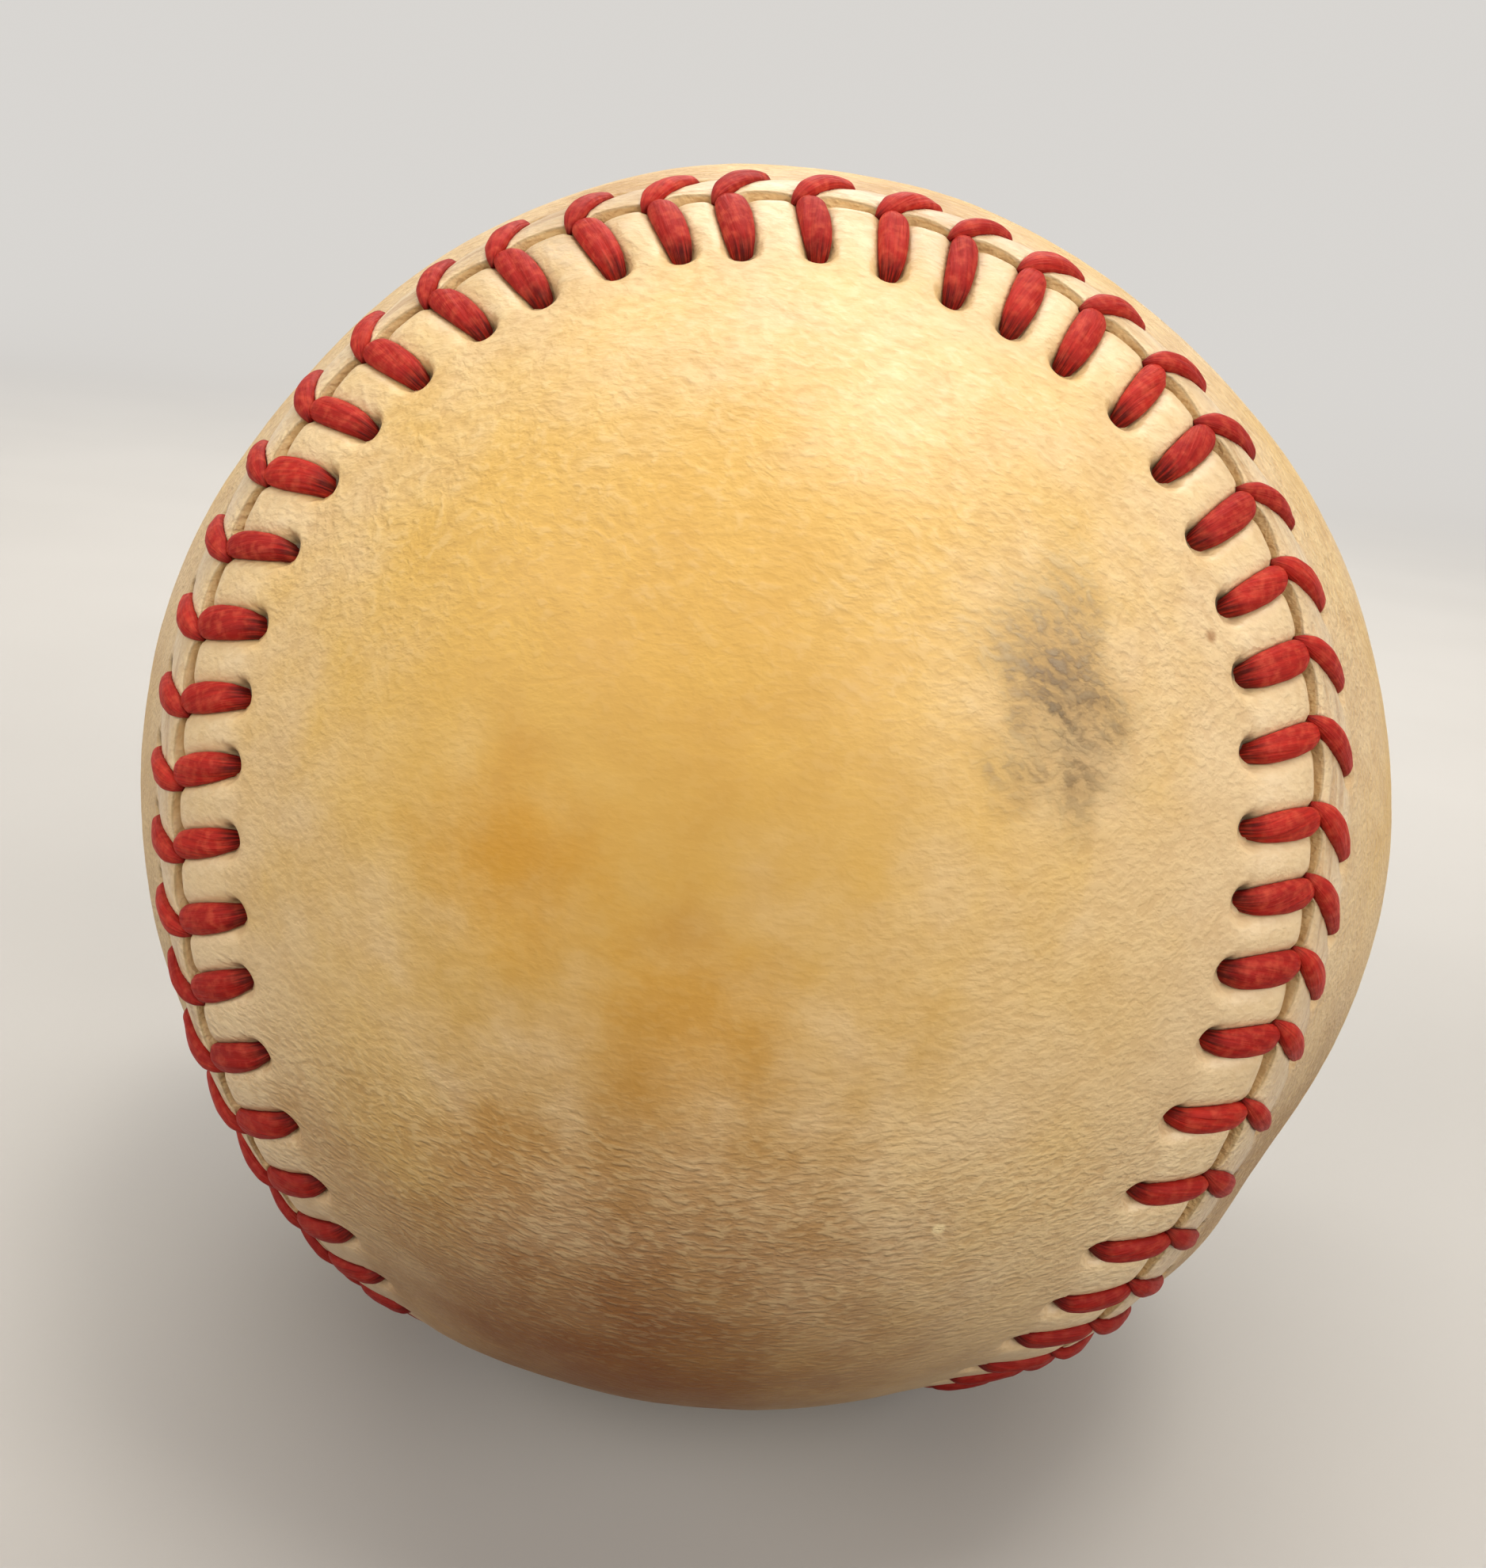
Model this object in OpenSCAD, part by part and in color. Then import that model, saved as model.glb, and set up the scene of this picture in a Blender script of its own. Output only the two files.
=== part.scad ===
// Baseball, built from the middle out as the real one is: a cork and rubber pill, three wool
// windings, a finishing winding, and two figure-eight leather panels sewn together with
// 108 double stitches. The origin is the ball's centre. All sizes are in millimetres.

/* [Pill] */
// Diameter of the cork core
core_d = 20.64; // [18:0.01:23]
// Wall of the black rubber half shells
inner_wall = 3.97; // [3:0.01:5]
// Thickness of the ring between the two half shells
gasket_t = 1.6; // [0.8:0.1:2.4]
// Wall of the red rubber cover over the half shells
rubber_wall = 2.38; // [1.5:0.01:3.5]

/* [Windings] */
// Build-up of the four-ply grey wool
first_build = 14.66; // [12:0.01:17]
// Build-up of the three-ply white wool
second_build = 1.77; // [1:0.01:3]
// Build-up of the three-ply grey wool
third_build = 2.27; // [1:0.01:3]
// Build-up of the fine cotton finishing thread
finishing_build = 0.51; // [0.3:0.01:1]

/* [Cover] */
// Thickness of the leather
leather_t = 1.27; // [1.1:0.01:1.6]
// Width of a panel's waist, along the surface from seam line to seam line
waist_w = 31.4; // [28:0.1:35]
// How far the sewn edges stand above the plain leather between two stitches
seam_raise = 0.75; // [0.4:0.05:0.9]
// Width of the open line between the two leather edges
seam_gap = 0.3; // [0.1:0.05:0.5]

/* [Stitches] */
// Number of double stitches, a quarter of them on each quarter of the seam
stitches = 108; // [104:4:112]
// Distance of the stitch holes from the seam line, along the surface
hole_reach = 4.3; // [4:0.1:4.6]
// Width of a stitch leg at its fattest
leg_w = 1.7; // [1.4:0.05:1.8]
// Height of a stitch leg at its fattest
leg_h = 0.9; // [0.7:0.05:1]
// Height of a leg's middle line over the plain leather
leg_rise = 0.42; // [0.3:0.01:0.5]
// Width of the thread where it goes down through the leather
thread_d = 0.6; // [0.5:0.05:0.65]
// Room between a leg and the leather that it presses down
seat_gap = 0.05; // [0.03:0.01:0.08]
// Room around the thread in its hole
hole_gap = 0.1; // [0.08:0.01:0.12]

/* [Hidden] */
$fn = 180;

// Radii from the middle out
core_r = core_d / 2;
inner_r = core_r + inner_wall;
pill_r = inner_r + rubber_wall;
first_r = pill_r + first_build;
second_r = first_r + second_build;
third_r = second_r + third_build;
wound_r = third_r + finishing_build;
ball_r = wound_r + leather_t;
// Width of a block that takes in the whole pill
block_w = 2 * pill_r;

// The seam line, as a curve around the ball. It swings out by this share of its radius, which
// gives the panels their round lobes, and its height then follows from the width of the waist.
swing_share = 0.327;
waist_angle = waist_w / ball_r / PI * 90;
rise_share = (1 - 2 * swing_share) / tan(waist_angle);
// Steps that measure a quarter of the seam
seam_steps = 90;
// Angle on either side of a place on the seam that tells which way the seam runs there
near_angle = 0.5;
// Where the first stitch lies, in stitches past the middle of the waist
first_stitch_share = -0.1;
// How far each panel's holes lie ahead of the point where the legs meet, in stitches
lead_share_a = 0.21;
lead_share_b = 0.51;

// Four columns of points for each stitch, in stitches from the leg's middle line: the two in
// the middle run under the leg, and the outer two carry the soft fold beside it
column_shares = [-0.36, -0.13, 0.13, 0.36];
columns = len(column_shares);
// Rows of points, in shares of the holes' distance from the seam line
row_shares = [0, 0.3, 0.7, 1, 1.45];
rows = len(row_shares);
hole_row = 3;
// Height of the fold at each row, in shares of the seam's raise
fold_shares = [0.4, 1, 0.9, 0.4, 0];
// A leg at the rows from the seam line to its hole, in shares of its rise, width and height
rise_shares = [0.7, 1, 0.85, 0.25];
width_shares = [0.5, 0.95, 1, 0.4];
height_shares = [0.75, 1, 1, 0.65];
// Corners around the thread
thread_sides = 6;
// Facets that a stitch hole is drawn with
hole_facets = 24;
// Points across the plain leather inside the sewn edge
spans = 10;
// How far a cut runs past what it cuts
overrun = 0.5;

// Colours
cork_brown = "#a97f52";
rubber_black = "#26262a";
rubber_red = "#b4443a";
wool_grey = "#8f9094";
wool_white = "#e6e1d3";
cotton_white = "#f0ece0";
leather_tan = "#d9b878";
leather_cream = "#dcc08a";
thread_red = "#b3202c";

// Geometry on the ball
function unit(v) = v / norm(v);

function seam_at(t) = unit([
    (1 - swing_share) * cos(t) - swing_share * cos(3 * t),
    (1 - swing_share) * sin(t) + swing_share * sin(3 * t),
    -rise_share * cos(2 * t)
]);

// Distance along the first quarter of the seam, paired with the angle there
quarter = [
    for (
        i = 0, s = 0;
        i <= seam_steps;
        i = i + 1, s = s + norm(seam_at(90 * i / seam_steps) - seam_at(90 * (i - 1) / seam_steps))
    )
    [s, 90 * i / seam_steps]
];
quarter_length = quarter[seam_steps][0];

// Angle of the seam curve at a place u, counted in stitches
function angle_at(u) =
    let (q = 4 * u / stitches, whole = floor(q))
    90 * whole + lookup((q - whole) * quarter_length, quarter);

// Direction from the ball's centre to the point u stitches along the seam and a surface
// distance d beside it, where d is negative on panel a and positive on panel b
function beside_seam(u, d) =
    let (
        t = angle_at(u),
        p = seam_at(t),
        along = unit(seam_at(t + near_angle) - seam_at(t - near_angle)),
        a = d / ball_r / PI * 180
    )
    unit(p * cos(a) + unit(cross(p, along)) * sin(a));

// Point at share w of the arc from direction p to direction q
function between(p, q, w) =
    let (a = acos(min(1, p * q)))
    unit(p * sin((1 - w) * a) + q * sin(w * a));

// Directions of the point where stitch k's legs meet, and of its hole on one side, where side
// is 1 for panel b and -1 for panel a
function lead_share(side) = side > 0 ? lead_share_b : lead_share_a;
function meeting_at(k) = beside_seam(k + first_stitch_share, 0);
function hole_at(k, side) =
    beside_seam(k + first_stitch_share + lead_share(side), side * hole_reach);

// Radius of a leg's middle line at a row, and of the leather under it and on the fold beside it
function leg_line(row) = ball_r + rise_shares[row] * leg_rise;
function bed_at(row) =
    row > hole_row ? ball_r : leg_line(row) - height_shares[row] * leg_h / 2 - seat_gap;
function fold_at(row) = ball_r + seam_raise * fold_shares[row];

// Point of a panel's sewn edge, at a row and at column c of stitch k
function edge_point(k, c, row, side) =
    let (
        reach = max(row_shares[row] * hole_reach, seam_gap / 2),
        lead = lead_share(side) * min(row_shares[row], 1),
        under_leg = c == 1 || c == 2
    )
    (under_leg ? bed_at(row) : fold_at(row))
    * beside_seam(k + first_stitch_share + lead + column_shares[c], side * reach);

// A panel's solid reaches down to the centre, and the windings are taken out of it afterwards.
// Its points are the centre, the sewn edge row by row, and the plain leather across the lobes.
// tip is the stitch at the end of a lobe, from which both edges are counted.
module panel_wedge(side, tip) {
    ring = stitches * columns;
    pairs = stitches / 2;
    last = rows - 1;
    edge = [
        for (row = [0:last - 1], i = [0:ring - 1])
        edge_point(floor(i / columns), i % columns, row, side)
    ];
    rim = [for (k = [0:stitches - 1]) edge_point(k, 0, last, side)];
    plain = [
        for (j = [1:pairs - 1], i = [1:spans - 1])
        ball_r * between(
            unit(rim[(tip - j + stitches) % stitches]), unit(rim[(tip + j) % stitches]), i / spans
        )
    ];
    points = concat([[0, 0, 0]], edge, rim, plain);

    function edge_index(row, i) = 1 + row * ring + i % ring;
    function rim_index(k) = 1 + last * ring + (k + stitches) % stitches;
    function plain_index(j, i) =
        i == 0 || j == 0 || j == pairs ? rim_index(tip - j)
        : i == spans ? rim_index(tip + j)
        : 1 + last * ring + stitches + (j - 1) * (spans - 1) + i - 1;

    sides = [for (i = [0:ring - 1]) [0, edge_index(0, i), edge_index(0, i + 1)]];
    band = [
        for (row = [0:last - 2], i = [0:ring - 1])
        let (
            p = edge_index(row, i), q = edge_index(row, i + 1),
            r = edge_index(row + 1, i + 1), s = edge_index(row + 1, i)
        )
        each [[p, r, q], [p, s, r]]
    ];
    gather = [
        for (k = [0:stitches - 1])
        each concat(
            [for (c = [0:columns - 1])
                [edge_index(last - 1, k * columns + c), rim_index(k),
                    edge_index(last - 1, k * columns + c + 1)]],
            [[edge_index(last - 1, (k + 1) * columns), rim_index(k), rim_index(k + 1)]]
        )
    ];
    middle = [
        for (j = [0:pairs - 1], i = [0:spans - 1])
        let (
            p = plain_index(j, i), q = plain_index(j, i + 1),
            r = plain_index(j + 1, i + 1), s = plain_index(j + 1, i)
        )
        each concat(p == q ? [] : [[p, r, q]], r == s ? [] : [[p, s, r]])
    ];
    faces = concat(sides, band, gather, middle);
    turned = [for (f = faces) [f[0], f[2], f[1]]];
    polyhedron(points = points, faces = side > 0 ? faces : turned);
}

// Frame with its origin at the ball's centre and its Z axis in a direction, which the seam
// keeps well away from the ball's own Z axis
function frame_to(z) =
    let (x = unit(cross([0, 0, 1], z)), y = cross(z, x))
    [
        [x[0], y[0], z[0], 0],
        [x[1], y[1], z[1], 0],
        [x[2], y[2], z[2], 0],
        [0, 0, 0, 1]
    ];

// A round hole through the leather
module thread_hole(direction) {
    multmatrix(frame_to(direction))
    translate([0, 0, wound_r - overrun])
    cylinder(h = leather_t + 2 * overrun, d = thread_d + 2 * hole_gap, $fn = hole_facets);
}

module cover_panel(side, tip) {
    difference() {
        panel_wedge(side, tip);
        sphere(r = wound_r);
        for (k = [0:stitches - 1]) thread_hole(hole_at(k, side));
    }
}

// Corners of the thread around a point on it, square to the way that it runs there
function thread_ring(at, along, across, width, height) =
    let (up = cross(across, along))
    [
        for (i = [0:thread_sides - 1])
        let (a = 360 * i / thread_sides)
        at + across * cos(a) * width / 2 + up * sin(a) / sin(360 / thread_sides) * height / 2
    ];

// Corners of a leg at a row, on the way from one point on the ball to another
function leg_ring(meeting, hole, row, along, across) =
    thread_ring(
        leg_line(row) * unit(meeting * (1 - row_shares[row]) + hole * row_shares[row]),
        along, across, width_shares[row] * leg_w, height_shares[row] * leg_h
    );

// One double stitch: up through panel a, across the seam and down through panel b
module stitch(k) {
    meeting = meeting_at(k);
    hole_a = hole_at(k, -1);
    hole_b = hole_at(k, 1);
    along_a = unit(meeting - hole_a);
    along_b = unit(hole_b - meeting);
    across_a = unit(cross(along_a, hole_a + meeting));
    across_b = unit(cross(along_b, hole_b + meeting));
    low_r = wound_r + seat_gap;
    rings = [
        thread_ring(low_r * hole_a, hole_a, across_a, thread_d, thread_d),
        leg_ring(meeting, hole_a, hole_row, unit(hole_a + along_a), across_a),
        leg_ring(meeting, hole_a, 2, along_a, across_a),
        leg_ring(meeting, hole_a, 1, along_a, across_a),
        leg_ring(meeting, hole_a, 0, unit(along_a + along_b), unit(across_a + across_b)),
        leg_ring(meeting, hole_b, 1, along_b, across_b),
        leg_ring(meeting, hole_b, 2, along_b, across_b),
        leg_ring(meeting, hole_b, hole_row, unit(along_b - hole_b), across_b),
        thread_ring(low_r * hole_b, -hole_b, across_b, thread_d, thread_d)
    ];
    last = thread_sides * (len(rings) - 1);
    walls = [
        for (j = [0:len(rings) - 2], i = [0:thread_sides - 1])
        let (
            p = j * thread_sides + i,
            q = j * thread_sides + (i + 1) % thread_sides
        )
        each [[p, q, q + thread_sides], [p, q + thread_sides, p + thread_sides]]
    ];
    ends = [
        for (i = [1:thread_sides - 2])
        each [[0, i + 1, i], [last, last + i, last + i + 1]]
    ];
    polyhedron(points = [for (ring = rings) each ring], faces = concat(walls, ends));
}

// A layer between two radii
module layer(inside_r, outside_r) {
    difference() {
        sphere(r = outside_r);
        sphere(r = inside_r);
    }
}

module half_shell(side) {
    difference() {
        layer(core_r, inner_r);
        translate([0, 0, side * (gasket_t - block_w) / 2])
        cube(block_w, center = true);
    }
}

module cork_core() {
    color(cork_brown) sphere(r = core_r);
}

module inner_shell_lower() {
    color(rubber_black) half_shell(-1);
}

module inner_shell_upper() {
    color(rubber_black) half_shell(1);
}

module shell_gasket() {
    color(rubber_red)
    intersection() {
        layer(core_r, inner_r);
        cube([block_w, block_w, gasket_t], center = true);
    }
}

module rubber_cover() {
    color(rubber_red) layer(inner_r, pill_r);
}

module first_winding() {
    color(wool_grey) layer(pill_r, first_r);
}

module second_winding() {
    color(wool_white) layer(first_r, second_r);
}

module third_winding() {
    color(wool_grey) layer(second_r, third_r);
}

module finishing_winding() {
    color(cotton_white) layer(third_r, wound_r);
}

module cover_panel_a() {
    color(leather_tan) cover_panel(-1, stitches / 4);
}

module cover_panel_b() {
    color(leather_cream) cover_panel(1, 0);
}

module stitching() {
    color(thread_red)
    for (k = [0:stitches - 1]) stitch(k);
}

cork_core();
inner_shell_lower();
inner_shell_upper();
shell_gasket();
rubber_cover();
first_winding();
second_winding();
third_winding();
finishing_winding();
cover_panel_a();
cover_panel_b();
stitching();
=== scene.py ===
# %% [markdown]
# A baseball is made from the middle out: a cork and rubber pill, three windings of wool, one of
# cotton, and two figure-eight panels of leather that are sewn together with waxed red thread.
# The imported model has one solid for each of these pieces. It is loaded first, as a fixed frame,
# and every piece below is made to sit in it, in metres, so that nothing has to be fitted later.

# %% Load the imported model
import math

import bpy
import numpy as np
from mathutils import Matrix, Vector, geometry


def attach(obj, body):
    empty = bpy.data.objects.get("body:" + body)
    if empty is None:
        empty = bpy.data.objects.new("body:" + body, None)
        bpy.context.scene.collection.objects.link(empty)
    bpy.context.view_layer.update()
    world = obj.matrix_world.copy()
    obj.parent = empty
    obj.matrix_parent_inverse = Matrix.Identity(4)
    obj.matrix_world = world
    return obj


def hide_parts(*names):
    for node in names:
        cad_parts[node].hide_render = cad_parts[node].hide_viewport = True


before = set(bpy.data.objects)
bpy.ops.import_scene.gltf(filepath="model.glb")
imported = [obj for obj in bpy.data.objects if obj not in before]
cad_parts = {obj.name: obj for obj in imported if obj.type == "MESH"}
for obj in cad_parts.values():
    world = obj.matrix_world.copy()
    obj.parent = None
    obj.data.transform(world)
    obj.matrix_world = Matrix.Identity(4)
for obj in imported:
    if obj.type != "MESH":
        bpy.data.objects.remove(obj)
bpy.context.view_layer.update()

MM = 0.001

# %% [markdown]
# The camera comes first, because it decides which details are worth making. A ball has no
# edges to line a camera up with, but its seam does the same work: the ends of the stitches in
# the photograph fix where the camera stood, how far it leaned, and how long its lens was. The
# camera stood close, about 11 cm from the ball's centre, which is why less than half of the
# ball is seen. It is placed by its own three axes, so no rotation has to be guessed.

# %% Camera
CAMERA_MM = (4.71, -101.16, 32.45)
CAMERA_RIGHT = (0.99108, 0.08026, 0.10639)
CAMERA_UP = (-0.1257, 0.29773, 0.94634)
CAMERA_BACK = (0.04427, -0.95127, 0.30516)
LENS_MM = 38.43
SENSOR_MM = 36.0
LENS_SHIFT = (-0.0144, -0.0014)
SEEN_FROM_M, SEEN_TO_M = 0.001, 20


def place_camera():
    data = bpy.data.cameras.new("camera")
    data.sensor_fit = "AUTO"
    data.sensor_width = SENSOR_MM
    data.lens = LENS_MM
    data.shift_x, data.shift_y = LENS_SHIFT
    data.clip_start, data.clip_end = SEEN_FROM_M, SEEN_TO_M
    camera = bpy.data.objects.new("camera", data)
    bpy.context.scene.collection.objects.link(camera)
    turn = Matrix((CAMERA_RIGHT, CAMERA_UP, CAMERA_BACK)).transposed()
    camera.matrix_world = Matrix.Translation(Vector(CAMERA_MM) * MM) @ turn.to_4x4()
    bpy.context.scene.camera = camera
    return camera


camera = place_camera()
print("camera distance in mm:", round(camera.location.length / MM, 1))

# %% [markdown]
# The seam of a baseball is one closed line, the same on both sides of it. It swings out and
# back four times round the ball. A short formula gives such a line, and its two numbers are the
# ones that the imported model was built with. Walking along it in equal steps gives 108 stitches
# of equal pitch, so every point of the cover can be named in the sewer's own terms: how many
# stitches along the seam, and how many millimetres beside it. Panel a lies on one side of the
# line and panel b on the other.

# %% The seam line
BALL_R = 37.15
LEATHER_T = 1.27
STITCHES = 108
SWING = 0.327
WAIST_W = 31.4
RISE = (1 - 2 * SWING) / math.tan(WAIST_W / BALL_R / 2)
FIRST_STITCH = -0.1
SEAM_STEPS = 7200
NUDGE = 0.002


def unit(v):
    return v / np.linalg.norm(v, axis=-1, keepdims=True)


def seam_at(t):
    t = np.asarray(t, float)
    return unit(np.stack([
        (1 - SWING) * np.cos(t) - SWING * np.cos(3 * t),
        (1 - SWING) * np.sin(t) + SWING * np.sin(3 * t),
        -RISE * np.cos(2 * t),
    ], -1))


steps = np.linspace(0, 2 * math.pi, SEAM_STEPS + 1)
paces = np.linalg.norm(np.diff(seam_at(steps), axis=0), axis=1)
walked = np.concatenate([[0], np.cumsum(paces)])
PITCH = walked[-1] * BALL_R / STITCHES
stitch_steps = walked / walked[-1] * STITCHES


def beside_seam(u, d):
    """Direction from the ball's centre to the point u stitches along the seam and d mm beside
    it, where d is negative on panel a and positive on panel b."""
    turns = np.floor(u / STITCHES)
    t = np.interp(u - turns * STITCHES, stitch_steps, steps)
    p = seam_at(t)
    along = unit(seam_at(t + NUDGE) - seam_at(t - NUDGE))
    a = (np.asarray(d, float) / BALL_R)[..., None]
    return unit(p * np.cos(a) + unit(np.cross(p, along)) * np.sin(a))


print("stitch pitch in mm:", round(PITCH, 3))

# %% [markdown]
# Where two panels are drawn together over the windings, the leather stands up in a low round
# ridge, about a millimetre high at the seam line and gone a few millimetres past the holes.
# Thread and leather both follow it, so it is one small function of the distance from the seam.
#
# The ball is sewn by hand, so no two stitches are alike. Each gets a small shift, reach and
# width from one seeded generator, which sews the same ball each time. The sewer's hand also
# wanders over several stitches at a time: WANDER says round which stitch, over how many to each
# side, and how far, in stitches. LEAN does the same for how far the legs on panel b lean.

# %% The ridge and the sewer's hand
CREST_H = 1.0
CREST_W = 4.3
CREST_POWER = 2.2
WANDER = [(65.5, 2.2, 0.12), (70.8, 1.8, -0.14), (78.4, 1.2, 0.12), (82.5, 1.4, 0.11),
          (92.0, 0.7, 0.1), (94.8, 1.9, -0.19), (101.0, 1.6, 0.1)]
LEAN = [(67.5, 5.0, -0.27), (73.5, 2.5, -0.06), (92.8, 2.0, 0.1)]


def crest(d):
    return CREST_H * np.exp(-(np.abs(d) / CREST_W) ** CREST_POWER)


def drift(places):
    k = np.arange(STITCHES)
    return sum(far * np.exp(-((k - middle) / spread) ** 2) for middle, spread, far in places)


chance = np.random.default_rng(108)


def uneven(spread, limit):
    """One small chance value for each stitch, never past the limit."""
    return np.clip(chance.normal(0, spread, STITCHES), -limit, limit)


shift = uneven(0.015, 0.035) + drift(WANDER)
stitch_place = np.arange(STITCHES) + FIRST_STITCH + shift
print("ridge in mm at 0, 2, 4 and 6 mm:", crest(np.array([0, 2, 4, 6])).round(2))

# %% [markdown]
# A double stitch has two legs. The leg on panel a stands nearly square to the seam: it comes up
# in its hole, lies sunk between two pillows of leather, and ends under the other leg at the
# seam line. The leg on panel b is thinner. It starts as a short tail at the line, crosses the
# end of the first leg, leans forward down the far slope and ends in its own hole.
#
# Each leg's middle line is a straight run in the sewer's terms. Three short tables give its
# height over the leather, its width and its thickness from the seam to the hole, judged at the
# fattest and thinnest places. They are drawn as smooth curves, because a thread has no
# corners.

# %% The legs of the stitches
HOLE_REACH = 4.3
LEG_W = 1.5
LEG_H = 0.92
FINE = np.linspace(0, 1, 201)
BRUSH = np.exp(-(np.linspace(-2.5, 2.5, 25) ** 2) / 2)


def drawn_smooth(stations, values):
    past_ends = len(BRUSH) // 2
    raw = np.pad(np.interp(FINE, stations, values), past_ends, mode="reflect", reflect_type="odd")
    return np.convolve(raw, BRUSH / BRUSH.sum(), mode="valid")


class Legs:
    """The legs on one panel. side is -1 for panel a and 1 for panel b."""

    def __init__(self, side, start, start_d, end_lead, reach, stations, rise, width, height):
        self.side, self.start, self.start_d = side, start, start_d
        self.rise = drawn_smooth(stations, rise)
        self.width = drawn_smooth(stations, width)
        self.height = drawn_smooth(stations, height)
        self.reach = reach + uneven(0.1, 0.2)
        self.lead = end_lead + uneven(0.03, 0.06)
        self.fat = 1 + uneven(0.06, 0.12)

    def line(self, k, s):
        """Places f along the seam from the stitch's own point, in stitches, and d beside it."""
        f = self.start + s * (self.lead[k] - self.start)
        return f, self.start_d + s * (self.reach[k] - self.start_d)

    def middle(self, k, s):
        """Height in mm of the leg's middle line over the plain ball."""
        return crest(self.line(k, s)[1]) + np.interp(s, FINE, self.rise)

    def half_width(self, k, s):
        return np.interp(s, FINE, self.width) * self.fat[k] * LEG_W / 2

    def half_height(self, s):
        return np.interp(s, FINE, self.height) * LEG_H / 2


legs_a = Legs(
    side=-1, start=-0.02, start_d=0.0, end_lead=0.21, reach=HOLE_REACH - 0.2,
    stations=[0, 0.07, 0.22, 0.45, 0.7, 0.86, 0.94, 1],
    rise=[-0.5, -0.24, -0.12, -0.1, -0.12, -0.2, -0.48, -1.15],
    width=[0.5, 0.78, 0.98, 1.04, 0.98, 0.88, 0.74, 0.52],
    height=[0.7, 0.88, 1.0, 1.0, 1.0, 0.9, 0.78, 0.58],
)
legs_b = Legs(
    side=1, start=-0.2, start_d=-0.6, end_lead=0.49, reach=HOLE_REACH + 0.35,
    stations=[0, 0.08, 0.22, 0.42, 0.65, 0.85, 0.94, 1],
    rise=[-0.22, -0.02, 0.1, 0.12, 0.06, -0.02, -0.28, -0.9],
    width=[0.16, 0.46, 0.8, 0.87, 0.7, 0.46, 0.3, 0.18],
    height=[0.35, 0.65, 0.9, 0.94, 0.85, 0.7, 0.5, 0.3],
)
legs_b.lead = legs_b.lead + drift(LEAN)
print("legs:", 2 * STITCHES, "widest", round(float(legs_a.fat.max() * LEG_W), 2), "mm")

# %% [markdown]
# Tight thread shapes the leather more than anything else on the ball. Between two stitches the
# leather puffs up into a round pillow. Under each leg it is pressed down, so it hugs the thread
# from both sides. At each hole it is drawn down into a small funnel with a raised lip, and a
# few millimetres inside the holes it lies flat again. All of this is relief in the mesh itself
# and not only a bump in the material, so it also shows at the outline of the ball.
#
# The relief is the height in mm over the plain ball, worked out for each point from its
# distance to the nearest legs and holes. A leg rests against the lower side of its hole as the
# ball lies, so the open part is on the upper and outer side. The same work gives the grime mark
# that the leather's material reads later: a dark spot at the upper and outer side of each hole,
# partly dirt and partly painted shade under the hole's upper lip, and a thin line beside each
# leg, which is painted shade where the leather meets the thread.

# %% Under and beside a leg
PILLOW_RISE, PILLOW_POWER = 0.3, 1.3
PRESS = 0.2
DEEPEST = 0.65


def ease(x):
    x = np.clip(x, 0, 1)
    return x * x * (3 - 2 * x)


def leather_bed(legs, k, gap, s, pillow):
    """Height of the leather gap mm from the middle line of leg k, at the share s of its way to
    the hole, and how far that is outside the leg. pillow is the height with no leg near."""
    half_w = legs.half_width(k, s)
    half_h = legs.half_height(s)
    level = legs.middle(k, s)
    pressed = np.minimum(level - PRESS * half_h, pillow)
    under = level - half_h * np.sqrt(np.clip(1 - (gap / half_w) ** 2, 0, 1))
    outside = np.clip(gap - half_w, 0, None)
    climb = 1 - np.exp(-(outside / PILLOW_RISE) ** PILLOW_POWER)
    beside = pressed + (pillow - pressed) * climb
    return np.where(gap < half_w, np.minimum(under, pressed), beside), outside


test_bed, _ = leather_bed(legs_a, 0, np.array([0.0, 0.5, 1.0, 2.0]), 0.5, crest(2.0))
print("leather in mm at 0, 0.5, 1 and 2 mm from a leg:", test_bed.round(2))

# %% Relief of the sewn leather
PIT_R, PIT_FLOOR_R, PIT_DEPTH, PIT_UP = 0.5, 0.1, 0.5, 0.3
FUNNEL_R, FUNNEL_DEPTH = 1.2, 0.08
LIP_R, LIP_W, LIP_H = 0.8, 0.25, 0.05
# The dark spot at each hole is partly dirt and partly painted shade under its upper lip; the thin
# line beside each leg is painted shade.
DIRT_SHADE_R, DIRT_SHADE_UP, DIRT_SHADE_OUT = 0.5, 0.36, 0.05
LINE_W, LINE_SHADE = 0.1, 0.3
LENS_FROM, LENS_LENGTH, LENS_SCALE = 0.12, 0.66, 2.6


def seam_lens(f):
    """How far the seam stands open, from 0 to 1: widest just past a stitch."""
    g = np.clip(((f - LENS_FROM) % 1.0) / LENS_LENGTH, 0, 1)
    return np.sqrt(g) * (1 - g) * LENS_SCALE


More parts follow.
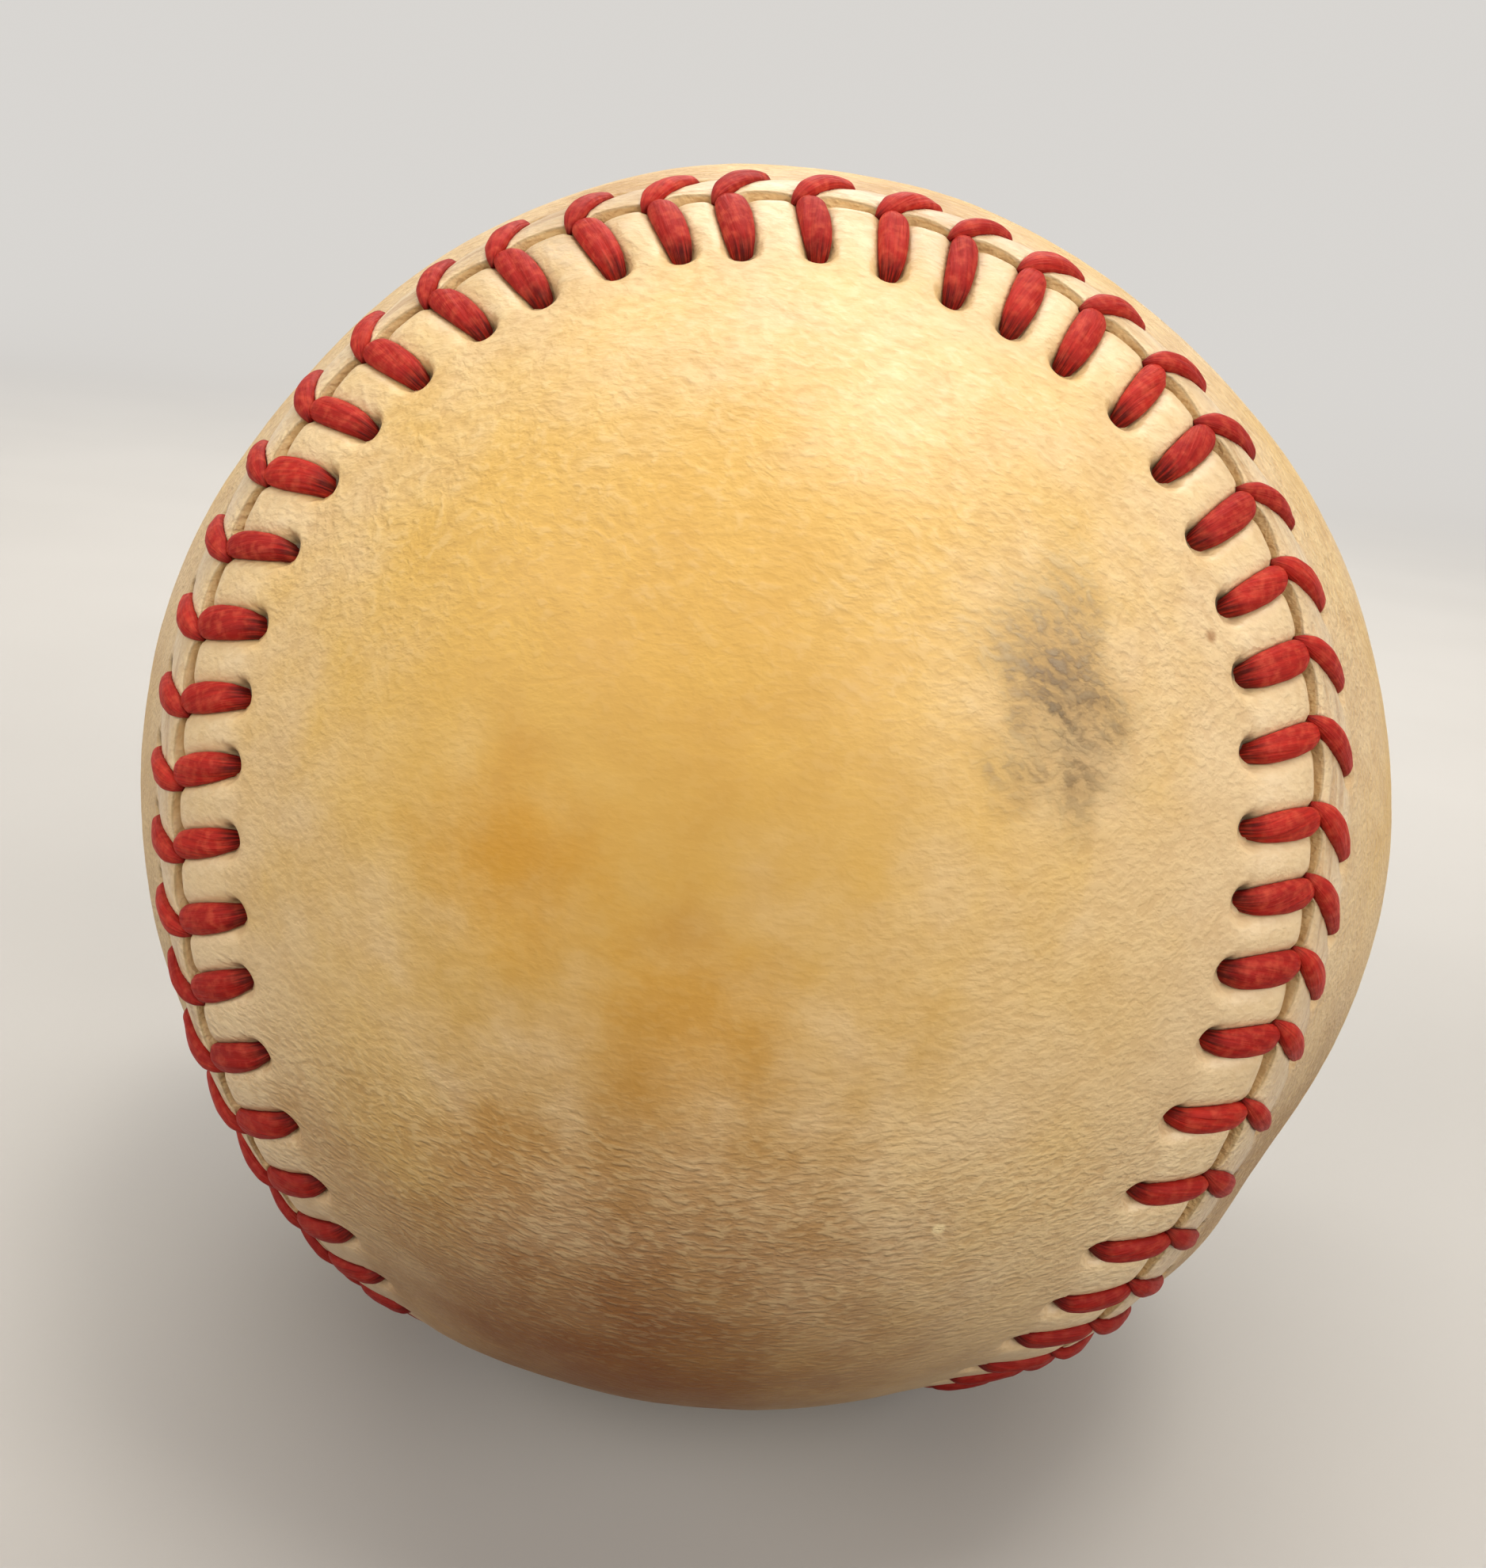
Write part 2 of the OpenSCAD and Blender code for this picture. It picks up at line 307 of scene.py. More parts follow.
def relief(legs, u, d, pitch, slope):
    """Height, and grime with painted shade, at places u, d of one panel. pitch is the length in
    mm of one stitch there, which is shorter inside the lobes, and slope says how steeply the seam
    climbs."""
    pillow = crest(d)
    height = pillow.copy()
    pit, lip, grime_and_shade = (np.zeros_like(height) for _ in range(3))
    base = np.floor(u - FIRST_STITCH).astype(int)
    for offset in (-1, 0, 1, 2):
        k = (base + offset) % STITCHES
        f = (u - (base + offset + FIRST_STITCH + shift[k])) * pitch
        fa, da = legs.line(k, 0.0)
        fh, dh = legs.line(k, 1.0)
        fa, fh = fa * pitch, fh * pitch
        run, reach = fh - fa, dh - da
        s = np.clip(((f - fa) * run + (d - da) * reach) / (run ** 2 + reach ** 2), 0, 1)
        gap = np.hypot(f - fa - s * run, d - da - s * reach)
        bed, outside = leather_bed(legs, k, gap, s, pillow)
        height = np.minimum(height, np.maximum(bed, pillow - DEEPEST))
        r = np.hypot(f - fh - slope * PIT_UP, d - dh)
        height = height - FUNNEL_DEPTH * np.exp(-(r / FUNNEL_R) ** 2)
        pit = np.maximum(pit, 1 - ease((r - PIT_FLOOR_R) / (PIT_R - PIT_FLOOR_R)))
        lip = np.maximum(lip, np.exp(-((r - LIP_R) / LIP_W) ** 2) * (s > 0.97))
        # Dark spot up and out from the hole: partly dirt, partly painted shade.
        dirt_shade_gap = np.hypot(f - fh - slope * DIRT_SHADE_UP, d - dh - DIRT_SHADE_OUT)
        grime_and_shade = np.maximum(grime_and_shade, np.exp(-(dirt_shade_gap / DIRT_SHADE_R) ** 4))
        # Thin dark line along the leg: painted shade where the leather meets the thread.
        grime_and_shade = np.maximum(grime_and_shade, LINE_SHADE * np.exp(-(outside / LINE_W) ** 2) * (s > 0.02))
    height = np.maximum(height - PIT_DEPTH * pit, pillow - DEEPEST - 0.1)
    return height + LIP_H * lip, grime_and_shade


test_h, test_g = relief(legs_a, np.array([0.45, 0.05]), np.array([2.0, 2.0]), PITCH, 0.0)
print("pillow and bed in mm:", test_h.round(2), "grime:", test_g.round(2))

# %% [markdown]
# Away from the seam the leather is not a perfect sphere either. The windings under it and years
# of handling leave very low swells and dents, which catch the light. Sums of sine waves that
# run in all directions give such a surface. Each row of SWELLS gives the length of its waves in
# mm, which says how wide the swells are, then the number of waves, their seed and their height.
# They stay within a few hundredths of a millimetre, so the ball keeps its size.

# %% Swells and dents
def wave_field(length, count, seed):
    own = np.random.default_rng(seed)
    runs = unit(own.normal(size=(count, 3))) * (2 * math.pi / length)
    runs = runs * own.uniform(0.7, 1.3, (count, 1))
    return runs, own.uniform(0, 2 * math.pi, count)


def waves(points, field):
    runs, phases = field
    total = np.zeros(len(points))
    for run, phase in zip(runs, phases):
        total += np.sin(points @ run + phase)
    return total / math.sqrt(len(phases))


SWELLS = [(16, 24, 1, 0.035), (5, 30, 2, 0.014), (1.7, 40, 3, 0.006)]
FIELDS = [(wave_field(length, count, seed), high) for length, count, seed, high in SWELLS]


def swell(directions):
    points = directions * BALL_R
    return sum(high * waves(points, field) for field, high in FIELDS)


print("swell at the bottom in mm:", swell(np.array([[0, 0, -1.0]])).round(3))

# %% [markdown]
# A used ball has also been hit out of round. Seen from the camera its outline is up to 0.7 mm
# short in two places behind the seam and a little full low down. Each such place is a wide soft
# dent or bulge: the panel it is on, where it lies round the outline, counted in degrees from
# the right, how wide it is in mm, and its height. They fade out towards the seam, so that they
# don't move the stitches. Where the panel is given as 0 the windings underneath are out of
# round, so both panels and the stitches between them go along.

# %% Out of round
LIMB = math.acos(BALL_R / Vector(CAMERA_MM).length)
FADE_D, FADE_W = 1.5, 4.5
DENTS = [(1, 46, 15, -0.8), (1, 80, 12, -0.42), (1, 138, 10, -0.58), (1, 114, 7, -0.25),
         (1, 322, 5, -0.2), (1, 347, 7, 0.2), (1, 200, 7, 0.1), (-1, 256, 11, 0.35),
         (0, 241, 5, 0.6), (0, 215, 6, -0.3), (0, 311, 5, 0.7), (0, 290, 5, -0.3)]


def outline_place(degrees):
    turn = math.radians(degrees)
    flat = math.cos(turn) * np.array(CAMERA_RIGHT) + math.sin(turn) * np.array(CAMERA_UP)
    return flat * math.sin(LIMB) + np.array(CAMERA_BACK) * math.cos(LIMB)


def out_of_round(directions, side, d):
    total = np.zeros(len(directions))
    for panel, degrees, wide, high in DENTS:
        if panel in (0, side):
            away = np.arccos(np.clip(directions @ outline_place(degrees), -1, 1)) * BALL_R
            fade = ease((d - FADE_D) / FADE_W) if panel else 1.0
            total += high * np.exp(-(away / wide) ** 2) * fade
    return total


def plain_height(directions, side, d):
    return swell(directions) + out_of_round(directions, side, d)


print("dent at 46 degrees in mm:", out_of_round(outline_place(46)[None], 1, 20.0).round(2))

# %% [markdown]
# A panel is meshed in two parts. Along the seam it is a regular strip of 32 columns a stitch,
# fine enough for the pillows and holes. The broad leather inside the strip has no natural rows
# or columns, so points are spread evenly over it and joined into triangles. Blender has a flat
# triangulator for this, and a stereographic map, which keeps circles round, lays the panel
# flat without spoiling the triangles. The underside is made the same way, with fewer points,
# so that a panel is a closed sheet of leather with its real thickness.

# %% Mesh helpers
TRIANGLE_H = 0.866
INSIDE_ONLY = 1
SAME_POINT = 1e-7


def new_mesh(name, points_mm, faces, marks=None):
    """An object from points in mm and faces of any length, with a float mark for each point."""
    mesh = bpy.data.meshes.new(name)
    points = np.asarray(points_mm, np.float32) * MM
    sizes = np.fromiter((len(f) for f in faces), np.int32, len(faces))
    corners = np.fromiter((v for f in faces for v in f), np.int32, int(sizes.sum()))
    starts = np.concatenate([[0], np.cumsum(sizes)[:-1]]).astype(np.int32)
    mesh.vertices.add(len(points))
    mesh.vertices.foreach_set("co", points.ravel())
    mesh.loops.add(len(corners))
    mesh.loops.foreach_set("vertex_index", corners)
    mesh.polygons.add(len(sizes))
    mesh.polygons.foreach_set("loop_start", starts)
    mesh.update(calc_edges=True)
    mesh.validate()
    for title, values in (marks or {}).items():
        layer = mesh.attributes.new(title, "FLOAT", "POINT")
        layer.data.foreach_set("value", np.asarray(values, np.float32))
    mesh.polygons.foreach_set("use_smooth", np.full(len(mesh.polygons), True))
    made = bpy.data.objects.new(name, mesh)
    bpy.context.scene.collection.objects.link(made)
    return made


def ring_quads(rings, sides, first=0):
    """Quads that join each closed ring of points to the next, as rows of four numbers."""
    ring, i = np.divmod(np.arange((rings - 1) * sides), sides)
    a = first + ring * sides
    j = (i + 1) % sides
    return np.stack([a + i, a + j, a + j + sides, a + i + sides], -1)


def even_points(step):
    """Directions spread evenly over the whole ball, about step mm apart, on a spiral."""
    count = int(4 * math.pi * BALL_R ** 2 / (TRIANGLE_H * step ** 2))
    i = np.arange(count) + 0.5
    z = 1 - 2 * i / count
    turn = math.pi * (1 + math.sqrt(5)) * i
    flat = np.sqrt(1 - z * z)
    return np.stack([flat * np.cos(turn), flat * np.sin(turn), z], -1)


def turned_out(points, triangles):
    """The same triangles, each facing away from the ball's centre."""
    t = np.array(triangles)
    a, b, c = points[t[:, 0]], points[t[:, 1]], points[t[:, 2]]
    inward = np.einsum("ij,ij->i", np.cross(b - a, c - a), a + b + c) < 0
    t[inward] = t[inward][:, ::-1]
    return t.tolist()


def fill_inside(rim, waist, spread):
    """Triangles inside a closed rim of directions. Returns the added directions and the faces,
    which count the rim's points first. waist is -1 or 1, for the pole the panel is round."""
    def flatten(v):
        z = v[:, 2] * waist
        return v[:, :2] / (1 + z)[:, None]

    edge = flatten(rim)
    inner = flatten(spread)
    count = len(rim)
    points = [Vector(p) for p in np.concatenate([edge, inner]).tolist()]
    ring = [(i, (i + 1) % count) for i in range(count)]
    made = geometry.delaunay_2d_cdt(points, ring, [], INSIDE_ONLY, SAME_POINT)
    faces, origin = made[2], [o[0] for o in made[3]]
    used = sorted({origin[v] for f in faces for v in f if origin[v] >= count})
    number = {o: count + n for n, o in enumerate(used)}
    number.update({i: i for i in range(count)})
    added = spread[np.array(used) - count]
    return added, [[number[origin[v]] for v in f] for f in faces]


print("points over the ball at 1 mm:", len(even_points(1.0)))

# %% [markdown]
# To fill a panel, each spread point has to know which side of the seam it is on and how far
# from it. The seam line is sampled eight times a stitch, and the nearest sample answers both.

# %% How far from the seam
SAMPLES = np.arange(STITCHES * 8) / 8
SEAM_LINE = beside_seam(SAMPLES, np.zeros(len(SAMPLES)))
SEAM_SIDE = beside_seam(SAMPLES, np.ones(len(SAMPLES))) - SEAM_LINE
AT_ONCE = 4096


def nearest_seam(directions):
    """Distance in mm to the seam line, and which of its samples is the nearest."""
    best = np.empty(len(directions))
    which = np.empty(len(directions), int)
    for i in range(0, len(directions), AT_ONCE):
        dots = directions[i:i + AT_ONCE] @ SEAM_LINE.T
        which[i:i + AT_ONCE] = dots.argmax(1)
        best[i:i + AT_ONCE] = dots.max(1)
    return BALL_R * np.arccos(np.clip(best, -1, 1)), which


def keep_inside(directions, side, margin):
    far, which = nearest_seam(directions)
    lean = np.einsum("ij,ij->i", directions - SEAM_LINE[which], SEAM_SIDE[which])
    return directions[(far > margin) & (lean * side > 0)]


print("the poles in mm from the seam:", nearest_seam(np.array([[0, 0, 1.0], [0, 0, -1.0]]))[0])

# %% [markdown]
# Each row of the strip has a place beside the seam and a height. The first rows climb the cut
# edge of the leather from the windings to the top. Panel b's edge stands a little proud and its
# raw face shows between the stitches, while panel a's edge rolls down, so the seam reads as a
# thin wavy lens of tan between two lines, as it does on the photographed ball. Each point is
# marked with its distance from the seam, its grime and painted shade, and whether it is on the
# cut edge. Low on the cut edge, deep in the seam, that mark is mostly painted shade.

# %% Rows of the strip
COLUMNS = 32
RING = STITCHES * COLUMNS
RING_U = np.arange(RING) / COLUMNS
STRIP_D = np.concatenate([
    np.linspace(0, 1.2, 9), np.linspace(1.35, 3.3, 12), np.linspace(3.4, 5.4, 24),
    np.linspace(5.6, 7.9, 9),
])
CUT_SHARES = [0.0, 0.3, 0.52, 0.7, 0.84, 0.94]
INNER_D = 0.02
SEAM_HALF = {-1: (0.04, 0.08), 1: (0.05, 0.3)}
EDGE_ROLL = {-1: (0.34, 0.4), 1: (0.06, 0.2)}
LENS_FADE_D = 2.0
RAW_H = 0.03


def on_ball(directions, height):
    return directions * (BALL_R + height)[:, None]


def top_rows(legs):
    """Distance from the seam, height, and grime with painted shade, of each row on top, from
    the seam inward.
    """
    f = (RING_U - FIRST_STITCH - np.interp(RING_U, stitch_place, shift)) % 1.0
    least, opened = SEAM_HALF[legs.side]
    edge_d = least + opened * seam_lens(f)
    drop, roll_w = EDGE_ROLL[legs.side]
    rows = []
    for nominal in STRIP_D:
        d = nominal + edge_d * (1 - ease(nominal / LENS_FADE_D))
        near = beside_seam(RING_U, legs.side * d)
        forward = np.roll(near, -1, 0) - np.roll(near, 1, 0)
        pitch = np.linalg.norm(forward, axis=1) * BALL_R * COLUMNS / 2
        height, grime_and_shade = relief(legs, RING_U, d, pitch, unit(forward)[:, 2])
        height = height - drop * np.exp(-((nominal / roll_w) ** 1.5))
        rows.append((d, height + plain_height(near, legs.side, d), grime_and_shade))
    return rows


def cut_rows(top_d, top_h, top_grime_and_shade):
    """The same for the rows that climb the cut edge to the first row on top."""
    rows = []
    for share in CUT_SHARES:
        d = INNER_D + (top_d - INNER_D) * share ** 2
        raw = RAW_H * np.sin(RING_U * 37.0 + 9 * share) * (0 < share)
        height = -LEATHER_T + (top_h + LEATHER_T) * share
        # Low on the cut edge, deep in the seam, the mark rises: painted shade in the gap, with
        # grime.
        grime_and_shade = np.maximum(top_grime_and_shade, 0.9 * (1 - ease(share / 0.7)))
        rows.append((d + np.abs(raw), height, grime_and_shade))
    return rows


print("rows of a panel:", len(CUT_SHARES) + len(STRIP_D), "points in a row:", RING)

# %% The two cover panels
TOP_STEP, TOP_MARGIN = 0.46, 0.35
UNDER_STEP, UNDER_MARGIN = 2.4, 1.6


class Sheet:
    """The points and faces of one panel as it grows, with the marks of each point."""

    def __init__(self, side):
        self.side = side
        self.points, self.faces = [], []
        self.marks = {"seam_mm": [], "grime_and_shade": [], "cut": []}

    def add_points(self, points, seam_mm, grime_and_shade, cut):
        """Adds points and returns the number of the first one."""
        first = sum(len(p) for p in self.points)
        self.points.append(points)
        for title, values in zip(self.marks, (seam_mm, grime_and_shade, cut)):
            self.marks[title].append(np.broadcast_to(values, len(points)))
        return first

    def fill(self, first, step, margin, height_at, cut):
        """Fills the panel inside the ring that starts at point first, and returns the faces.
        height_at gives the heights of points from their directions and distances."""
        rim = unit(np.concatenate(self.points)[first:first + RING])
        spread = keep_inside(even_points(step), self.side, margin)
        added, triangles = fill_inside(rim, self.side, spread)
        far, _ = nearest_seam(added)
        start = self.add_points(on_ball(added, height_at(added, far)), far, 0.0, cut)
        joined = [[v + first if v < RING else v - RING + start for v in t] for t in triangles]
        return turned_out(np.concatenate(self.points), joined)


def make_panel(name, legs):
    side = legs.side
    sheet = Sheet(side)

    def top_height(directions, far):
        return crest(far) + plain_height(directions, side, far)

    def under_height(directions, far):
        return np.full(len(directions), -LEATHER_T)

    top = top_rows(legs)
    rows = [(*row, 1.0) for row in cut_rows(*top[0])]
    rows.append((top[0][0], top[0][1], np.maximum(top[0][2], 0.4), 1.0))
    rows.extend((*row, 0.0) for row in top[1:])
    for d, height, grime_and_shade, cut in rows:
        ring = on_ball(beside_seam(RING_U, side * d), height)
        last = sheet.add_points(ring, d, grime_and_shade, cut)
    quads = ring_quads(len(rows), RING)
    faces = (quads if side > 0 else quads[:, [0, 3, 2, 1]]).tolist()
    faces += sheet.fill(last, TOP_STEP, STRIP_D[-1] + TOP_MARGIN, top_height, 0.0)
    under = sheet.fill(0, UNDER_STEP, UNDER_MARGIN, under_height, 1.0)
    faces += [triangle[::-1] for triangle in under]
    marks = {title: np.concatenate(values) for title, values in sheet.marks.items()}
    made = new_mesh(name, np.concatenate(sheet.points), faces, marks)
    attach(made, "root")
    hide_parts(name.replace("leather", "cover"))
    return made


leather_a = make_panel("leather_panel_a", legs_a)
leather_b = make_panel("leather_panel_b", legs_b)
for panel in (leather_a, leather_b):
    print(panel.name, len(panel.data.vertices), "points", len(panel.data.polygons), "faces")

# %% [markdown]
# The thread is thick waxed cotton of two plies laid side by side with hardly any twist. A leg
# is swept: rings of points are strung along its middle line, each ring as wide and as high as
# the leg is there. A shallow groove where the two plies meet runs along it, and fine ridges
# stand for the fibres. Two more marks, along and around, let the material draw fibre streaks
# that follow the thread. A third gives each leg its own tone, and a fourth says where it is
# darkened, at the hole and at the crossing: partly soil, and partly painted shade where the
# thread goes into its hole and where the two legs meet.

# %% Path and plies of a leg
PLY_GROOVE = 0.16
GROOVE_W = 0.34
FIBRE_H = (0.012, 0.01)


def leg_path(legs, k, s):
    """The middle line of leg k, and the directions across it and up from the leather."""
    f, d = legs.line(k, s)
    direction = beside_seam(stitch_place[k] + f, legs.side * d)
    level = BALL_R + legs.middle(k, s) + plain_height(direction, legs.side, d)
    centre = direction * level[:, None]
    forward = unit(np.gradient(centre, axis=0))
    across = unit(np.cross(direction, forward))
    return centre, across, unit(np.cross(forward, across))


def ply_shape(angle, s, own):
    """How far the skin of a leg stands out, as a share of its size, and the turn counted from
    the groove between its plies, both for each ring and angle."""
    start_turn, turns = own.uniform(0.9, 2.2), own.uniform(-0.3, 0.3)
    groove_at = (start_turn + turns * 2 * math.pi * (s - 0.5))[:, None]
    depth = PLY_GROOVE * own.uniform(0.5, 1.3) * (0.35 + 0.9 * s[:, None])
    away = np.angle(np.exp(1j * 2 * (angle - groove_at))) / 2
    size = 1 - depth * np.exp(-((away / GROOVE_W) ** 2))
    lay = own.uniform(0, 6.28)
    size = size + FIBRE_H[0] * np.sin(11 * (angle - 0.6 * groove_at) + lay)
    size = size + FIBRE_H[1] * np.sin(23 * angle + 5 * s[:, None] + 2 * lay)
    return size, angle - groove_at


test_size, _ = ply_shape(np.linspace(0, 6, 7)[None, :], np.array([0.5]), np.random.default_rng(1))
print("skin of a leg at seven angles:", test_size[0].round(2))

# %% The stitches
RINGS = 40
RING_SIDES = 28
LEG_APART = 7.3


def make_legs(name, legs, seed):
    own = np.random.default_rng(seed)
    s = np.linspace(0, 1, RINGS) ** 0.95
    angle = np.linspace(0, 2 * math.pi, RING_SIDES, endpoint=False)[None, :]
    # The ends of each leg are darkened: partly soil, partly painted shade at the hole and where
    # the legs meet.
    soiled_and_shaded = np.maximum(ease((s - 0.8) / 0.16), 0.7 * ease((0.1 - s) / 0.1))
    end = np.arange(RING_SIDES)
    points, faces = [], []
    marks = {"along": [], "around": [], "tone": [], "grime_and_shade": []}
    for k in range(STITCHES):
        centre, across, up = leg_path(legs, k, s)
        size, turned = ply_shape(angle, s, own)
        x = np.cos(angle) * legs.half_width(k, s)[:, None] * size
        y = np.sin(angle) * legs.half_height(s)[:, None] * size
        rings = centre[:, None] + across[:, None] * x[..., None] + up[:, None] * y[..., None]
        points.append(rings.reshape(-1, 3))
        paces = np.linalg.norm(np.diff(centre, axis=0), axis=1)
        length = np.concatenate([[0], np.cumsum(paces)])
        marks["along"].append(np.repeat(length + LEG_APART * k, RING_SIDES))
        marks["around"].append((turned / (2 * math.pi)).ravel())
        marks["tone"].append(np.full(RINGS * RING_SIDES, own.uniform()))
        marks["grime_and_shade"].append(np.repeat(soiled_and_shaded, RING_SIDES))
        first = k * RINGS * RING_SIDES
        faces.extend(ring_quads(RINGS, RING_SIDES, first).tolist())
        faces.append((first + end[::-1]).tolist())
        faces.append((first + (RINGS - 1) * RING_SIDES + end).tolist())
    whole = {title: np.concatenate(values) for title, values in marks.items()}
    made = new_mesh(name, np.concatenate(points), faces, whole)
    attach(made, "root")
    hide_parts("stitching")
    return made


thread_a = make_legs("thread_legs_a", legs_a, 5)
thread_b = make_legs("thread_legs_b", legs_b, 6)
print("thread faces:", len(thread_a.data.polygons) + len(thread_b.data.polygons))

# %% [markdown]
# A finish is a small network of shader nodes. Writing one by hand takes many lines, so some
# helpers do the wiring: they add a node, do sums, mix two colours or fade between two values.
# Another turns a colour as the eye reads it, in steps of 0 to 255, into the linear light that
# Blender counts in.

# %% Node helpers
def rgb(red, green, blue):
    def linear(c):
        c = c / 255
        return c / 12.92 if c <= 0.04045 else ((c + 0.055) / 1.055) ** 2.4
    return (linear(red), linear(green), linear(blue), 1.0)


def put(tree, socket, value):
    """Gives a socket a fixed value, or joins it to another socket."""
    if isinstance(value, (int, float, tuple)):
        socket.default_value = value
    elif value is not None:
        tree.links.new(value, socket)


def add(tree, kind, links=None, **values):
    """A node of a kind, with its settings and socket values, joined to other sockets."""
    node = tree.nodes.new(kind)
    for key, value in values.items():
        if hasattr(node, key):
            setattr(node, key, value)
        else:
            node.inputs[key.replace("_", " ")].default_value = value
    for key, value in (links or {}).items():
        put(tree, node.inputs[key], value)
    return node


def maths(tree, operation, a, b=None, c=None, clamp=False):
    node = add(tree, "ShaderNodeMath", operation=operation, use_clamp=clamp)
    for socket, value in zip(node.inputs, (a, b, c)):
        put(tree, socket, value)
    return node.outputs[0]


def times(tree, a, b, clamp=False):
    return maths(tree, "MULTIPLY", a, b, clamp=clamp)


def mix(tree, amount, low, high):
    """A colour between two colours."""
    node = add(tree, "ShaderNodeMix", data_type="RGBA")
    for number, value in ((0, amount), (6, low), (7, high)):
        put(tree, node.inputs[number], value)
    return node.outputs[2]


def fade(tree, value, low, high, to_low=0.0, to_high=1.0):
    """Goes smoothly from to_low to to_high while the value goes from low to high."""
    node = add(tree, "ShaderNodeMapRange", {
        "Value": value, "From Min": low, "From Max": high, "To Min": to_low, "To Max": to_high,
    }, interpolation_type="SMOOTHSTEP")
    return node.outputs["Result"]


def attribute(tree, title):
    """A mark of the mesh, as it was set for each point."""
    return add(tree, "ShaderNodeAttribute", attribute_name=title).outputs["Fac"]


print("gold in linear light:", [round(c, 3) for c in rgb(225, 181, 85)])

# %% Groups and materials
def new_group(name, inputs, outputs):
    tree = bpy.data.node_groups.new(name, "ShaderNodeTree")
    for title, kind, value in inputs:
        socket = tree.interface.new_socket(title, in_out="INPUT", socket_type=kind)
        if value is not None:
            socket.default_value = value
    for title, kind in outputs:
        tree.interface.new_socket(title, in_out="OUTPUT", socket_type=kind)
    return tree, tree.nodes.new("NodeGroupInput").outputs, tree.nodes.new("NodeGroupOutput").inputs


def use_group(tree, group, links=None, **values):
    node = tree.nodes.new("ShaderNodeGroup")
    node.node_tree = group
    for key, value in values.items():
        node.inputs[key.replace("_", " ")].default_value = value
    for key, value in (links or {}).items():
        put(tree, node.inputs[key], value)
    return node.outputs


def new_material(name):
    material = bpy.data.materials.new(name)
    material.use_nodes = True
    tree = material.node_tree
    tree.nodes.clear()
    out = tree.nodes.new("ShaderNodeOutputMaterial")
    shader = tree.nodes.new("ShaderNodeBsdfPrincipled")
    tree.links.new(shader.outputs[0], out.inputs["Surface"])
    return material, tree, shader


def bump(tree, shader, height, distance, strength=1.0):
    node = add(tree, "ShaderNodeBump", {"Height": height}, Distance=distance, Strength=strength)
    tree.links.new(node.outputs[0], shader.inputs["Normal"])


print("helpers for groups and materials ready")

# %% [markdown]
# Places on the ball are easiest to think of in millimetres, so one small group turns Blender's
# object coordinates, which are metres, into millimetres. Every other effect starts from it.
#
# Speckle is the effect that all the finishes here share: cloudy variation at a size that is
# given in millimetres. The leather uses it for its blotches, the cork for its crumbs and the
# wool for its fuzz, each with its own size and contrast.

# %% Shared groups
def build_place():
    tree, _, out = new_group("place_in_mm", [], [("Place", "NodeSocketVector")])
    where = tree.nodes.new("ShaderNodeTexCoord").outputs["Object"]
    scaled = add(tree, "ShaderNodeVectorMath", operation="SCALE")
    put(tree, scaled.inputs[0], where)
    put(tree, scaled.inputs["Scale"], 1 / MM)
    put(tree, out["Place"], scaled.outputs[0])
    return tree


def build_speckle():
    tree, given, out = new_group(
        "speckle",
        [("Place", "NodeSocketVector", None), ("Size mm", "NodeSocketFloat", 1.0),
         ("Detail", "NodeSocketFloat", 3.0), ("Low", "NodeSocketFloat", 0.35),
         ("High", "NodeSocketFloat", 0.65)],
        [("Mask", "NodeSocketFloat"), ("Cloud", "NodeSocketFloat")],
    )
    cloud = add(tree, "ShaderNodeTexNoise", {
        "Vector": given["Place"], "Scale": maths(tree, "DIVIDE", 1.0, given["Size mm"]),
        "Detail": given["Detail"],
    }).outputs[0]
    cut = add(tree, "ShaderNodeMapRange", {
        "Value": cloud, "From Min": given["Low"], "From Max": given["High"],
    })
    put(tree, out["Mask"], cut.outputs["Result"])
    put(tree, out["Cloud"], cloud)
    return tree


PLACE = build_place()
SPECKLE = build_speckle()
print("shared groups:", PLACE.name, SPECKLE.name)

# %% [markdown]
# Leather grain has two parts. The fine one is the pebble of the hide, well under a millimetre
# across. The other is the soft wrinkling that comes where the hide was stretched and has dried:
# shallow ridges half a millimetre apart, drawn out in one direction and never quite straight. A
# cell pattern gives hard lines like crumpled paper, so the group uses cloudy noise, which it
# draws out by squeezing the coordinates in one direction, after turning them and pushing them
# about a little. The same network then serves the crosswise wrinkles low on the ball and the
# slanting ones high on it.

# %% Leather grain
def build_wrinkles():
    tree, given, out = new_group(
        "wrinkles",
        [("Place", "NodeSocketVector", None), ("Turn", "NodeSocketVector", (0.0, 0.0, 0.0)),
         ("Squeeze", "NodeSocketVector", (1.0, 1.0, 1.0)), ("Size mm", "NodeSocketFloat", 1.0),
         ("Wander mm", "NodeSocketFloat", 0.5)],
        [("Height", "NodeSocketFloat")],
    )
    place = given["Place"]

    def vector(operation, links):
        return add(tree, "ShaderNodeVectorMath", links, operation=operation).outputs[0]

    wander = add(tree, "ShaderNodeTexNoise", {"Vector": place}, Scale=0.4, Detail=2.0)
    centred = vector("SUBTRACT", {0: wander.outputs["Color"], 1: (0.5, 0.5, 0.5)})
    pushed = vector("SCALE", {0: centred, "Scale": given["Wander mm"]})
    moved = vector("ADD", {0: place, 1: pushed})
    turned = add(tree, "ShaderNodeVectorRotate", {"Vector": moved, "Rotation": given["Turn"]},
                 rotation_type="EULER_XYZ")
    drawn = vector("MULTIPLY", {0: turned.outputs[0], 1: given["Squeeze"]})
    ridges = add(tree, "ShaderNodeTexNoise", {
        "Vector": drawn, "Scale": maths(tree, "DIVIDE", 1.0, given["Size mm"]),
    }, Detail=2.5)
    put(tree, out["Height"], fade(tree, ridges.outputs[0], 0.3, 0.7))
    return tree


WRINKLES = build_wrinkles()
print("nodes in the wrinkle group:", len(WRINKLES.nodes))
